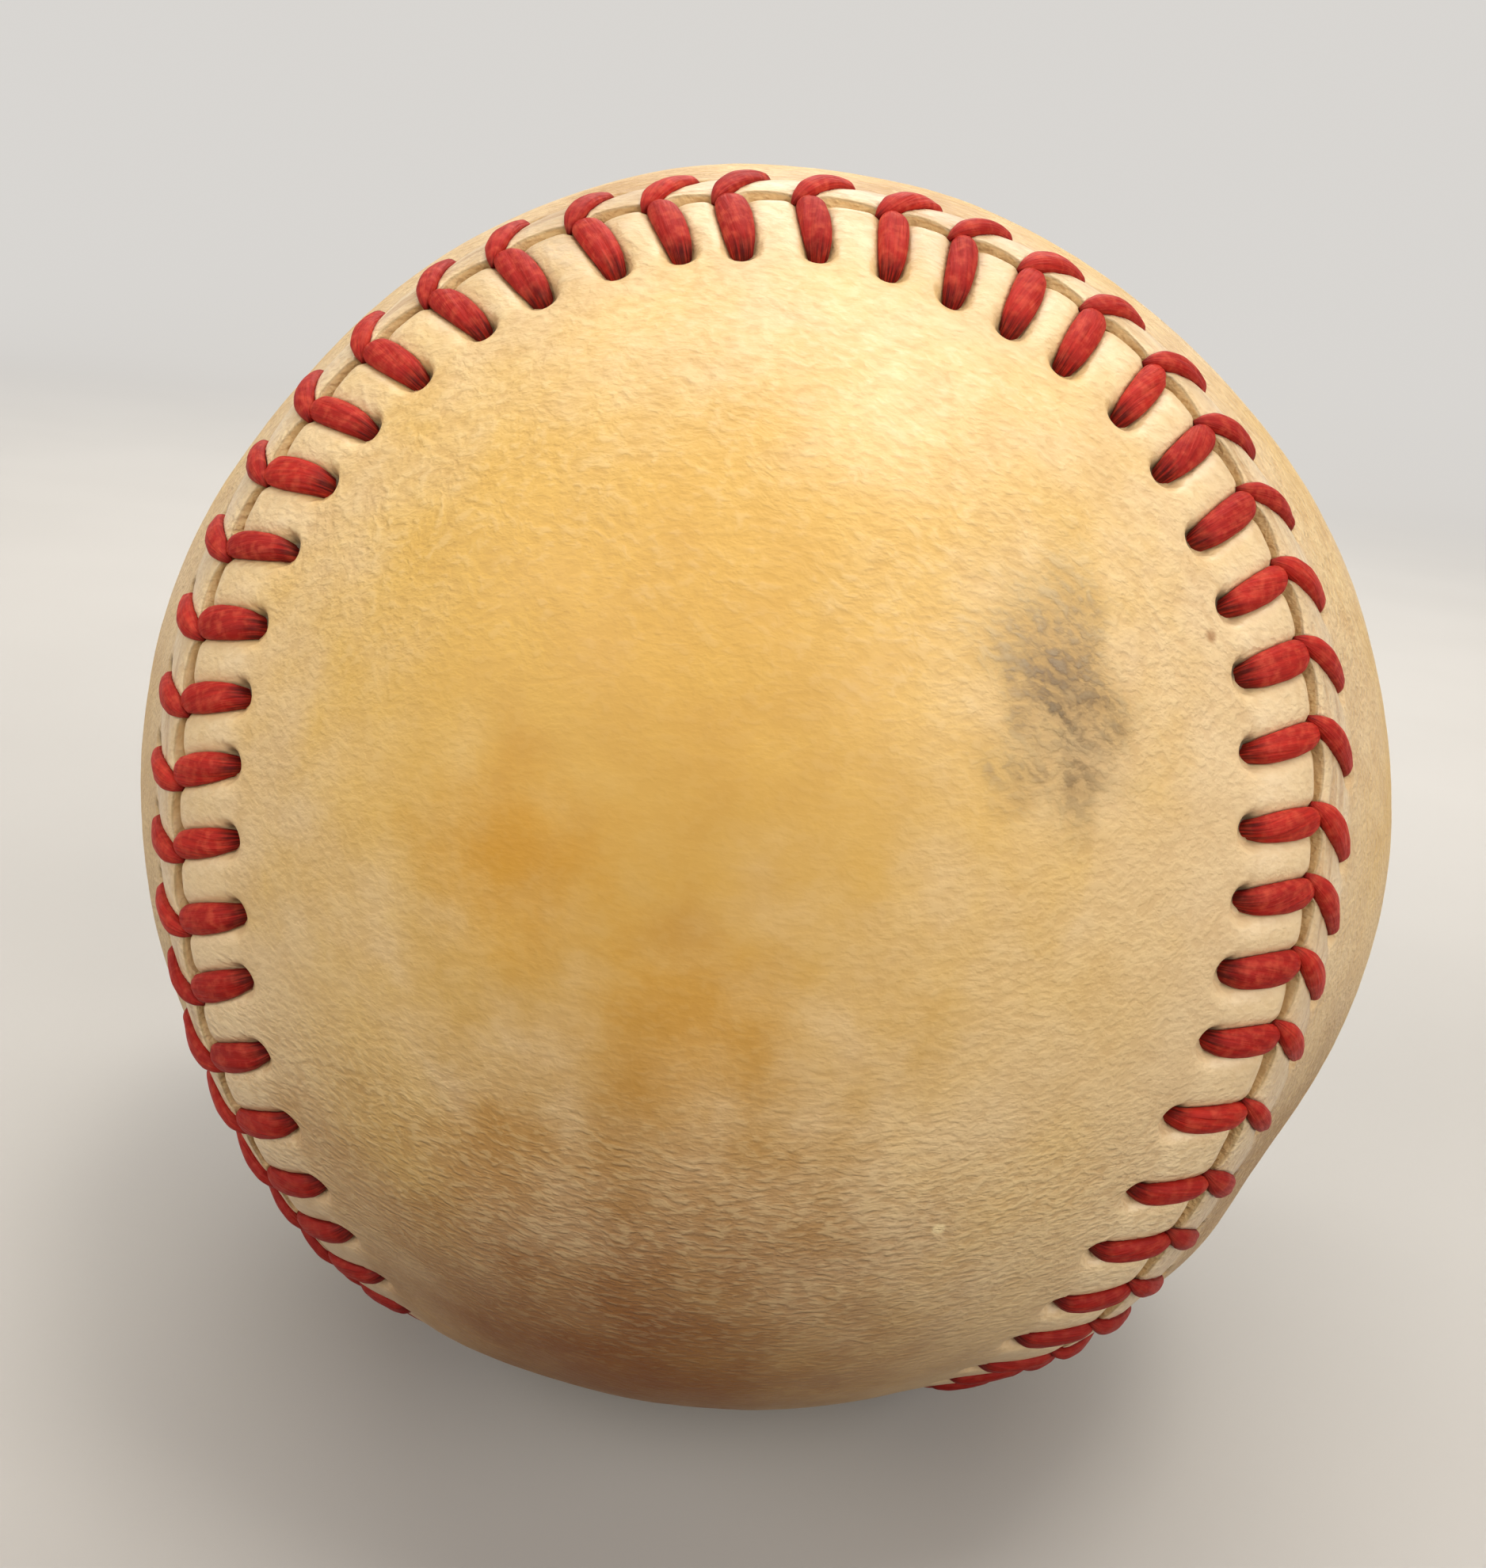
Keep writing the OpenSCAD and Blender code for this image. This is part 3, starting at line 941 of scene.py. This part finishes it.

# %% [markdown]
# Old leather is never one colour. This ball has gone from white to a golden tan where hands
# held it, has stayed pale beside the seam, and carries some darker blots. A blot is a soft
# round mark with a ragged edge, so one group makes them all from a middle, a radius and a
# raggedness, and the material places it several times. The middles are directions on the ball,
# listed one by one.

# %% Blots
def build_blot():
    tree, given, out = new_group(
        "blot",
        [("Place", "NodeSocketVector", None), ("Middle", "NodeSocketVector", (0.0, 0.0, 0.0)),
         ("Radius mm", "NodeSocketFloat", 5.0), ("Ragged mm", "NodeSocketFloat", 2.0),
         ("Soft", "NodeSocketFloat", 0.7)],
        [("Mask", "NodeSocketFloat")],
    )
    place = given["Place"]
    far = add(tree, "ShaderNodeVectorMath", {0: place, 1: given["Middle"]}, operation="DISTANCE")
    rough = add(tree, "ShaderNodeTexNoise", {"Vector": place}, Scale=0.25, Detail=3.0)
    push = times(tree, maths(tree, "SUBTRACT", rough.outputs[0], 0.5), given["Ragged mm"])
    reach = maths(tree, "ADD", far.outputs["Value"], times(tree, push, 4.0))
    share = maths(tree, "DIVIDE", reach, given["Radius mm"])
    start = maths(tree, "SUBTRACT", 1.0, given["Soft"])
    put(tree, out["Mask"], fade(tree, share, start, 1.0, 1.0, 0.0))
    return tree


BLOT = build_blot()
print("nodes in the blot group:", len(BLOT.nodes))

# %% [markdown]
# The leather itself is built up as it aged. A cream hide comes first. Gold from handling covers
# the middle of the lobe that faces the camera, and lies in clouds over the rest of the ball,
# away from the seam. Amber, brown and soot blots go over it. Two umber blots darken the lower
# half, partly soil and partly painted shade, and the lower right side. A fine mottle of pale high
# spots and brown hollows follows the grain: wear polishes what stands proud, and the pale there
# is partly painted sheen. Pale on the pillows beside the seam is partly painted highlight. Beside
# the seam the pull of the thread has left creases that run along it and have filled with dirt.
# They come from a noise that is read slowly along the seam and fast across it. The cut edges
# show the raw tan inside of the hide, painted lighter against the shade on their upright faces.
# The grime mark goes on last: dirt in the holes, with painted shade at the holes, beside the legs
# and deep in the seam.
#
# The gold middle of panel a is rubbed nearly smooth, and the grain deepens away from it. High on
# the panel and on the pillows the leather is polished as well, and a thin coat there gives it its
# soft glare. Panel b has kept more of its nap and is more matt.

# %% The colours of the leather
CREAM = rgb(230, 201, 156)
GOLD = rgb(225, 181, 85)
PALE = rgb(248, 224, 172)
AMBER = rgb(211, 152, 50)
BROWN = rgb(172, 120, 56)
# Umber goes on low on the ball, where it is partly soil and partly painted shade.
UMBER = rgb(122, 63, 18)
DIRT = rgb(146, 106, 60)
SOOT = rgb(98, 74, 46)
RUST = rgb(150, 92, 44)
# The grime tone: dirt, and painted shade at the holes, beside the legs and deep in the seam.
GRIME_SHADE_TONE = rgb(52, 32, 18)
# The cut tan is lighter than the raw edge: painted light against the shade on the upright cut
# faces.
CUT_TAN_LIGHTENED = rgb(240, 206, 146)
# middle in mm, radius, raggedness, softness
HANDLED = ((-4.0, -33.5, 14.5), 30.0, 6.0, 0.8)
RUBBED = ((-3.0, -35.5, 10.0), 23.0, 3.0, 1.0)
POLISHED = ((3.0, -28.0, 24.0), 19.0, 3.0, 1.0)
BLOTS = [
    # the same four, colour, strength
    ((8.0, -25.0, 26.0), 15.0, 4.0, 1.0, GOLD, 0.45),
    ((-1.5, -36.7, 5.7), 17.0, 3.0, 1.0, BROWN, 0.26),
    ((-3.5, -33.0, 16.5), 16.0, 3.0, 1.0, AMBER, 0.3),
    ((-8.6, -35.5, 6.8), 6.4, 1.6, 1.0, AMBER, 0.8),
    ((-0.4, -37.1, 0.9), 6.4, 1.6, 1.0, AMBER, 0.6),
    ((-0.7, -36.8, 4.8), 2.2, 1.0, 1.0, BROWN, 0.25),
    ((-8.6, -35.0, -8.9), 6.5, 2.2, 1.0, AMBER, 0.4),
    ((0.0, -36.0, -8.0), 15.0, 3.0, 1.0, BROWN, 0.34),
    ((-12.2, -16.5, 31.0), 6.5, 2.0, 1.0, DIRT, 0.55),
    ((6.8, -16.0, 32.8), 5.5, 2.0, 1.0, DIRT, 0.45),
    ((13.8, -31.4, 15.0), 5.0, 1.8, 1.0, SOOT, 0.72),
    ((14.4, -31.8, 12.8), 3.8, 1.6, 1.0, SOOT, 0.6),
    ((12.2, -29.9, 18.4), 4.8, 2.4, 1.0, SOOT, 0.38),
    # umber over the lower half: partly soil, partly painted shade
    ((-3.0, -29.0, -23.5), 27.0, 3.0, 1.0, UMBER, 0.95),
    ((-18.0, -30.0, -13.0), 9.0, 3.0, 0.9, BROWN, 0.25),
    ((30.0, -18.0, -12.0), 13.0, 3.0, 1.0, UMBER, 0.5),
    ((4.5, -10.4, 35.4), 9.0, 3.0, 0.9, BROWN, 0.55),
    ((-9.8, -9.8, 34.5), 8.0, 3.0, 0.9, BROWN, 0.5),
    ((20.4, -25.5, 17.7), 0.55, 0.15, 0.6, RUST, 0.7),
    ((11.7, -34.0, -9.3), 0.4, 0.1, 0.6, PALE, 0.9),
]
STREAKED = (SOOT, DIRT)
print("blots:", len(BLOTS))


# %% Grain of the hide
# squeeze, size in mm, wander in mm, turn
PEBBLE = ((0.6, 1.0, 1.0), 0.34, 0.4, (0.0, 0.0, 0.0))
LOW_WRINKLES = ((0.42, 1.0, 1.0), 0.3, 0.7, (0.0, 0.0, 0.0))
HIGH_WRINKLES = ((0.3, 1.0, 1.0), 0.5, 1.8, (0.0, -0.62, 0.0))


def blot(tree, place, middle, radius, ragged, soft):
    return use_group(tree, BLOT, {"Place": place}, Middle=middle, Radius_mm=radius,
                     Ragged_mm=ragged, Soft=soft)[0]


def wrinkles(tree, place, squeeze, size, wander, turn):
    return use_group(tree, WRINKLES, {"Place": place}, Squeeze=squeeze, Size_mm=size,
                     Wander_mm=wander, Turn=turn)[0]


def leather_grain(tree, place, nap):
    """The pebble, the grain made of it and the wrinkles, how deep the grain is, and streaks."""
    pebble = wrinkles(tree, place, *PEBBLE)
    high = wrinkles(tree, place, *HIGH_WRINKLES)
    upright = add(tree, "ShaderNodeSeparateXYZ", {"Vector": place}).outputs["Z"]
    is_low = fade(tree, upright, 2.0, -8.0)
    is_high = fade(tree, upright, 8.0, 20.0)
    grain = mix(tree, is_low, pebble, wrinkles(tree, place, *LOW_WRINKLES))
    grain = mix(tree, times(tree, is_high, 0.6), grain, high)
    depth = times(tree, fade(tree, blot(tree, place, *RUBBED), 0.0, 1.0, 1.0, 0.24),
                  fade(tree, upright, -10.0, -24.0, 1.0 + nap, 0.4 + nap))
    wrinkled = maths(tree, "MAXIMUM", is_low, is_high)
    depth = times(tree, depth, fade(tree, wrinkled, 0.0, 1.0, 0.42, 1.0))
    streaks = times(tree, fade(tree, high, 0.1, 0.9, 0.65, 1.2),
                    fade(tree, pebble, 0.1, 0.9, 0.7, 1.25))
    return pebble, grain, depth, streaks


print("wrinkles lie in mm apart:", PEBBLE[1], LOW_WRINKLES[1], HIGH_WRINKLES[1])


# %% Leather
def leather_colour(tree, place, seam, nap, grain, depth, streaks, crease):
    broad = use_group(tree, SPECKLE, {"Place": place}, Size_mm=15.0, Detail=5.0, Low=0.42,
                      High=0.66)["Mask"]
    small = use_group(tree, SPECKLE, {"Place": place}, Size_mm=2.2, Detail=6.0, Low=0.35,
                      High=0.7)["Mask"]
    clouds = times(tree, broad, times(tree, fade(tree, seam, 3.0, 14.0), 0.6))
    handled = times(tree, blot(tree, place, *HANDLED), 0.85)
    colour = mix(tree, maths(tree, "MAXIMUM", handled, clouds), CREAM, GOLD)
    for *where, tone, strength in BLOTS:
        amount = times(tree, blot(tree, place, *where), strength)
        if tone in STREAKED:
            amount = times(tree, amount, streaks, clamp=True)
        colour = mix(tree, amount, colour, tone)
    # Pale on the high spots of the grain: partly wear, partly painted sheen.
    proud = times(tree, fade(tree, grain, 0.5, 1.0), depth)
    hollow = times(tree, fade(tree, grain, 0.5, 0.0), depth)
    # Cut edges in a tan that is painted lighter against the shade on their upright faces.
    edge = mix(tree, times(tree, small, 0.5), CUT_TAN_LIGHTENED, BROWN)
    for mask, strength, tone in (
        (small, 0.14 + 0.22 * nap, BROWN), (proud, 0.22, PALE), (hollow, 0.2, BROWN),
        # pale on the pillows beside the seam: partly pale leather, partly painted highlight
        (fade(tree, seam, 5.2, 3.6), 0.15, PALE), (crease, 0.08 + 0.6 * nap, BROWN),
        # the grime mark: dirt, with painted shade at the holes, beside the legs and deep in the
        # seam
        (attribute(tree, "cut"), 0.8, edge), (attribute(tree, "grime_and_shade"), 0.9, GRIME_SHADE_TONE),
    ):
        colour = mix(tree, times(tree, mask, strength), colour, tone)
    return colour


def build_leather(name, nap):
    material, tree, shader = new_material(name)
    place = use_group(tree, PLACE)[0]
    seam = attribute(tree, "seam_mm")
    pebble, grain, depth, streaks = leather_grain(tree, place, nap)
    creases = add(tree, "ShaderNodeTexNoise", {
        "Vector": place, "W": times(tree, seam, 8.0),
    }, noise_dimensions="4D", Scale=0.16, Detail=2.0)
    crease = times(tree, fade(tree, creases.outputs[0], 0.54, 0.66), fade(tree, seam, 7.0, 3.0))
    put(tree, shader.inputs["Base Color"],
        leather_colour(tree, place, seam, nap, grain, depth, streaks, crease))

    height = maths(tree, "ADD", times(tree, grain, 0.7), times(tree, pebble, 0.3))
    height = maths(tree, "SUBTRACT", times(tree, height, depth), times(tree, crease, 0.15 + nap))
    bump(tree, shader, height, 0.0001, 0.8)
    rough = maths(tree, "ADD", 0.42 + 0.2 * nap, times(tree, grain, 0.12))
    put(tree, shader.inputs["Roughness"], rough)
    taut = times(tree, fade(tree, seam, 5.2, 3.6), 0.6)
    polish = maths(tree, "MAXIMUM", blot(tree, place, *POLISHED), taut)
    uneven_polish = maths(tree, "ADD", 0.7, times(tree, grain, 0.6))
    put(tree, shader.inputs["Coat Weight"], times(tree, polish, uneven_polish, clamp=True))
    shader.inputs["Coat Roughness"].default_value = 0.36
    shader.inputs["Coat IOR"].default_value = 1.65
    shader.inputs["Specular IOR Level"].default_value = 0.15
    shader.inputs["Sheen Weight"].default_value = 0.3 * nap
    shader.inputs["Sheen Roughness"].default_value = 0.4
    return material


leather_a.data.materials.append(build_leather("handled_leather", 0.0))
leather_b.data.materials.append(build_leather("napped_leather", 0.6))
print("leather:", len(leather_a.data.materials[0].node_tree.nodes), "nodes")

# %% [markdown]
# The thread's red is deep and uneven. Its fibres run along the leg, so the noise that colours
# them is read in the leg's own terms: slowly along it and fast around it. Each leg has its own
# tone. Wax gives a soft gloss, and handling has rubbed a little of the red off the tops. The red
# darkens towards the bottom of the ball, which is painted shade, and darkens again at the hole
# and at the crossing, which is partly soil and partly painted shade.

# %% Waxed thread
RED_DEEP, RED_LIVELY = rgb(168, 32, 23), rgb(192, 42, 28)
RED_FIBRE, RED_WORN = rgb(116, 12, 12), rgb(222, 94, 66)
# The low red is painted shade towards the bottom of the ball; the soiled red at the ends of a leg
# is partly soil and partly painted shade.
RED_LOW_SHADE, RED_SOILED_SHADED = rgb(104, 14, 10), rgb(52, 10, 8)


def build_thread():
    material, tree, shader = new_material("waxed_thread")
    turn = times(tree, attribute(tree, "around"), 2 * math.pi)
    lay = add(tree, "ShaderNodeCombineXYZ", {
        "X": times(tree, attribute(tree, "along"), 0.5),
        "Y": times(tree, maths(tree, "COSINE", turn), 3.2),
        "Z": times(tree, maths(tree, "SINE", turn), 3.2),
    }).outputs[0]
    fibres = use_group(tree, SPECKLE, {"Place": lay}, Size_mm=0.7, Detail=4.0, Low=0.35,
                       High=0.65)
    place = use_group(tree, PLACE)[0]
    wear = use_group(tree, SPECKLE, {"Place": place}, Size_mm=0.5, Detail=3.0, Low=0.45,
                     High=0.75)["Mask"]
    upright = add(tree, "ShaderNodeSeparateXYZ", {"Vector": place}).outputs["Z"]
    loose = maths(tree, "ADD", fibres["Mask"], 0.25)
    # The ends of the leg: partly soil, partly painted shade.
    soiled_and_shaded = times(tree, attribute(tree, "grime_and_shade"), loose, clamp=True)
    colour = mix(tree, attribute(tree, "tone"), RED_DEEP, RED_LIVELY)
    colour = mix(tree, times(tree, fibres["Mask"], 0.5), colour, RED_FIBRE)
    colour = mix(tree, times(tree, wear, 0.5), colour, RED_WORN)
    # Darker towards the bottom of the ball: painted shade.
    colour = mix(tree, fade(tree, upright, 4.0, -26.0, 0.0, 0.6), colour, RED_LOW_SHADE)
    colour = mix(tree, times(tree, soiled_and_shaded, 0.8), colour, RED_SOILED_SHADED)
    put(tree, shader.inputs["Base Color"], colour)
    rough = maths(tree, "ADD", 0.42, times(tree, fibres["Cloud"], 0.25))
    put(tree, shader.inputs["Roughness"], rough)
    shader.inputs["Specular IOR Level"].default_value = 0.15
    bump(tree, shader, fibres["Cloud"], 0.00012, 0.7)
    return material


thread = build_thread()
for legs in (thread_a, thread_b):
    legs.data.materials.append(thread)
print("thread:", len(thread.node_tree.nodes), "nodes")

# %% [markdown]
# The pieces inside are never seen while the ball is whole, but each keeps its own finish, so
# that a cut ball would show them. Ground cork is a pale brown full of dark crumbs, moulded
# rubber is smooth and plain, wool yarn is fuzzy and cotton is finer. All are one pattern, a
# base colour with a shade of it in cloudy speckles, and only the sizes and depths differ.

# %% The pieces inside
INSIDE = [
    # finish and its nodes, then base, shade, size in mm, detail, roughness, depth in m
    ("ground_cork", ["cork_core"],
     rgb(176, 132, 84), rgb(108, 72, 42), 1.3, 4.0, 0.7, 0.0003),
    ("black_rubber", ["inner_shell_lower", "inner_shell_upper"],
     rgb(34, 34, 37), rgb(50, 50, 52), 0.6, 2.0, 0.5, 0.00005),
    ("red_rubber", ["shell_gasket", "rubber_cover"],
     rgb(168, 58, 48), rgb(140, 44, 38), 0.8, 2.0, 0.5, 0.00005),
    ("grey_wool", ["first_winding", "third_winding"],
     rgb(150, 151, 156), rgb(104, 105, 112), 0.9, 5.0, 0.8, 0.0004),
    ("white_wool", ["second_winding"],
     rgb(232, 226, 210), rgb(198, 190, 170), 0.8, 5.0, 0.8, 0.0004),
    ("cotton", ["finishing_winding"],
     rgb(240, 236, 224), rgb(214, 208, 190), 0.3, 4.0, 0.75, 0.0002),
]


def simple_finish(name, base, shade, size, detail, roughness, depth):
    material, tree, shader = new_material(name)
    place = use_group(tree, PLACE)[0]
    crumbs = use_group(tree, SPECKLE, {"Place": place}, Size_mm=size, Detail=detail, Low=0.35,
                       High=0.65)
    put(tree, shader.inputs["Base Color"], mix(tree, crumbs["Mask"], base, shade))
    rough = maths(tree, "ADD", roughness, times(tree, crumbs["Cloud"], 0.15))
    put(tree, shader.inputs["Roughness"], rough)
    bump(tree, shader, crumbs["Cloud"], depth)
    return material


for name, nodes, *looks in INSIDE:
    finish = simple_finish(name, *looks)
    for node in nodes:
        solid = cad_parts[node]
        solid.data.materials.clear()
        solid.data.materials.append(finish)
print("inner pieces finished:", sum(len(nodes) for _, nodes, *_ in INSIDE))

# %% [markdown]
# The ball stands on a paper sweep: a floor that curves up into a backdrop, so that no horizon
# shows. A white floor would throw light back up and lift the shade on the lower half of the
# ball, which on the real one is deep and brown. So the paper is pale to the camera and to
# reflections, and dark to all other light. Light Path tells the two kinds of ray apart.
#
# The lamps light the paper only near the ball, where it takes the ball's shadow. Farther out it
# fades into the same pale tone as the room behind it, so that it has no edge from any side.

# %% Floor
FLOOR_Z = -37.2
SWEEP_NEAR, SWEEP_FAR, SWEEP_R, SWEEP_UP, SWEEP_SIDE = -3000, 500, 300, 1200, 3000
FADE_FROM, FADE_TO = 200.0, 750.0
ROOM_SEEN = 0.69
ROOM_TINT = (1.0, 0.97, 0.93)
ROOM_TONE = tuple(ROOM_SEEN * part for part in ROOM_TINT) + (1.0,)
PAPER, PAPER_CLOUD, PAPER_UNSEEN = rgb(196, 193, 188), rgb(200, 197, 192), rgb(62, 54, 46)
BLACK = (0.0, 0.0, 0.0, 1.0)


def seen_directly(tree):
    """1 for what the camera, a reflection or a clear body shows, and 0 for all other light."""
    ray = tree.nodes.new("ShaderNodeLightPath").outputs
    seen = maths(tree, "MAXIMUM", ray["Is Camera Ray"], ray["Is Glossy Ray"])
    return maths(tree, "MAXIMUM", seen, ray["Is Transmission Ray"])


def build_paper():
    material, tree, shader = new_material("paper_sweep")
    place = use_group(tree, PLACE)[0]
    cloud = use_group(tree, SPECKLE, {"Place": place}, Size_mm=60.0, Detail=2.0, Low=0.3,
                      High=0.7)["Mask"]
    seen = seen_directly(tree)
    away = add(tree, "ShaderNodeVectorMath", {0: place}, operation="LENGTH").outputs["Value"]
    far = fade(tree, away, FADE_FROM, FADE_TO)
    lit = mix(tree, far, mix(tree, cloud, PAPER, PAPER_CLOUD), BLACK)
    put(tree, shader.inputs["Base Color"], mix(tree, seen, PAPER_UNSEEN, lit))
    glow = mix(tree, times(tree, far, seen), BLACK, ROOM_TONE)
    put(tree, shader.inputs["Emission Color"], glow)
    shader.inputs["Emission Strength"].default_value = 1.0
    shader.inputs["Roughness"].default_value = 0.9
    shader.inputs["Specular IOR Level"].default_value = 0.0
    return material


def make_floor():
    line = [(SWEEP_NEAR, 0.0), (0.0, 0.0)]
    turns = np.linspace(0, math.pi / 2, 24)
    line += [(SWEEP_FAR + SWEEP_R * math.sin(a), SWEEP_R * (1 - math.cos(a))) for a in turns]
    line.append((SWEEP_FAR + SWEEP_R, SWEEP_UP))
    points = [(x, y, FLOOR_Z + z) for y, z in line for x in (-SWEEP_SIDE, SWEEP_SIDE)]
    faces = [[2 * i, 2 * i + 1, 2 * i + 3, 2 * i + 2] for i in range(len(line) - 1)]
    floor = new_mesh("floor_sweep", points, faces)
    floor.data.materials.append(build_paper())
    return floor


floor = make_floor()
print("floor:", len(floor.data.polygons), "strips")

# %% [markdown]
# The photographed ball is lit by one broad soft light almost overhead, with dim light from all
# around. A square area lamp above and a little to the right does that, and a very large one on
# each side of the camera fills in. Those two have more watts, but spread over seventeen times
# the area. A faint one behind keeps the far side from going dull, and the world adds the rest.
# Their strength is set so that a colour renders about as it is written, with only the soft
# glint at the top of the ball brighter. The paper behind the ball gets a lamp of its own, which
# is aimed past the ball and only grazes its top. Past the paper the world itself is pale, but
# only to the camera and to reflections, for the same reason as the floor.

# %% World and lights
AT_BALL = (0, 0, 0)
LAMPS = [
    # name, place in mm, size in mm, watts, colour, the point it is aimed at in mm
    ("key", (150, -120, 700), (170, 170), 1.05, (1.0, 0.95, 0.88), AT_BALL),
    ("fill_left", (-550, -480, 260), (700, 700), 3.95, (1.0, 0.96, 0.92), AT_BALL),
    ("fill_right", (500, -480, 240), (700, 700), 4.4, (1.0, 0.96, 0.92), AT_BALL),
    ("behind", (0, 500, 420), (300, 300), 0.8, (1.0, 0.96, 0.92), AT_BALL),
    ("backdrop", (0, 150, 600), (900, 200), 5.0, (1.0, 0.98, 0.95), (0, 600, 80)),
]
ROOM_LIGHT = 0.14


def make_light(name, place_mm, size_mm, power, colour, aim_mm):
    data = bpy.data.lights.new(name, "AREA")
    data.shape = "RECTANGLE"
    data.size, data.size_y = size_mm[0] * MM, size_mm[1] * MM
    data.energy = power
    data.color = colour
    light = bpy.data.objects.new(name, data)
    bpy.context.scene.collection.objects.link(light)
    light.location = Vector(place_mm) * MM
    light.rotation_mode = "QUATERNION"
    away = light.location - Vector(aim_mm) * MM
    light.rotation_quaternion = away.to_track_quat("Z", "Y")


def make_world():
    world = bpy.data.worlds.new("room")
    bpy.context.scene.world = world
    world.use_nodes = True
    tree = world.node_tree
    background = tree.nodes["Background"].inputs
    background["Color"].default_value = ROOM_TINT + (1.0,)
    seen = seen_directly(tree)
    strength = maths(tree, "MULTIPLY_ADD", seen, ROOM_SEEN - ROOM_LIGHT, ROOM_LIGHT)
    put(tree, background["Strength"], strength)


for lamp in LAMPS:
    make_light(*lamp)
make_world()
bpy.context.scene.view_settings.view_transform = "Standard"
print("lights:", [name for name, *_ in LAMPS])
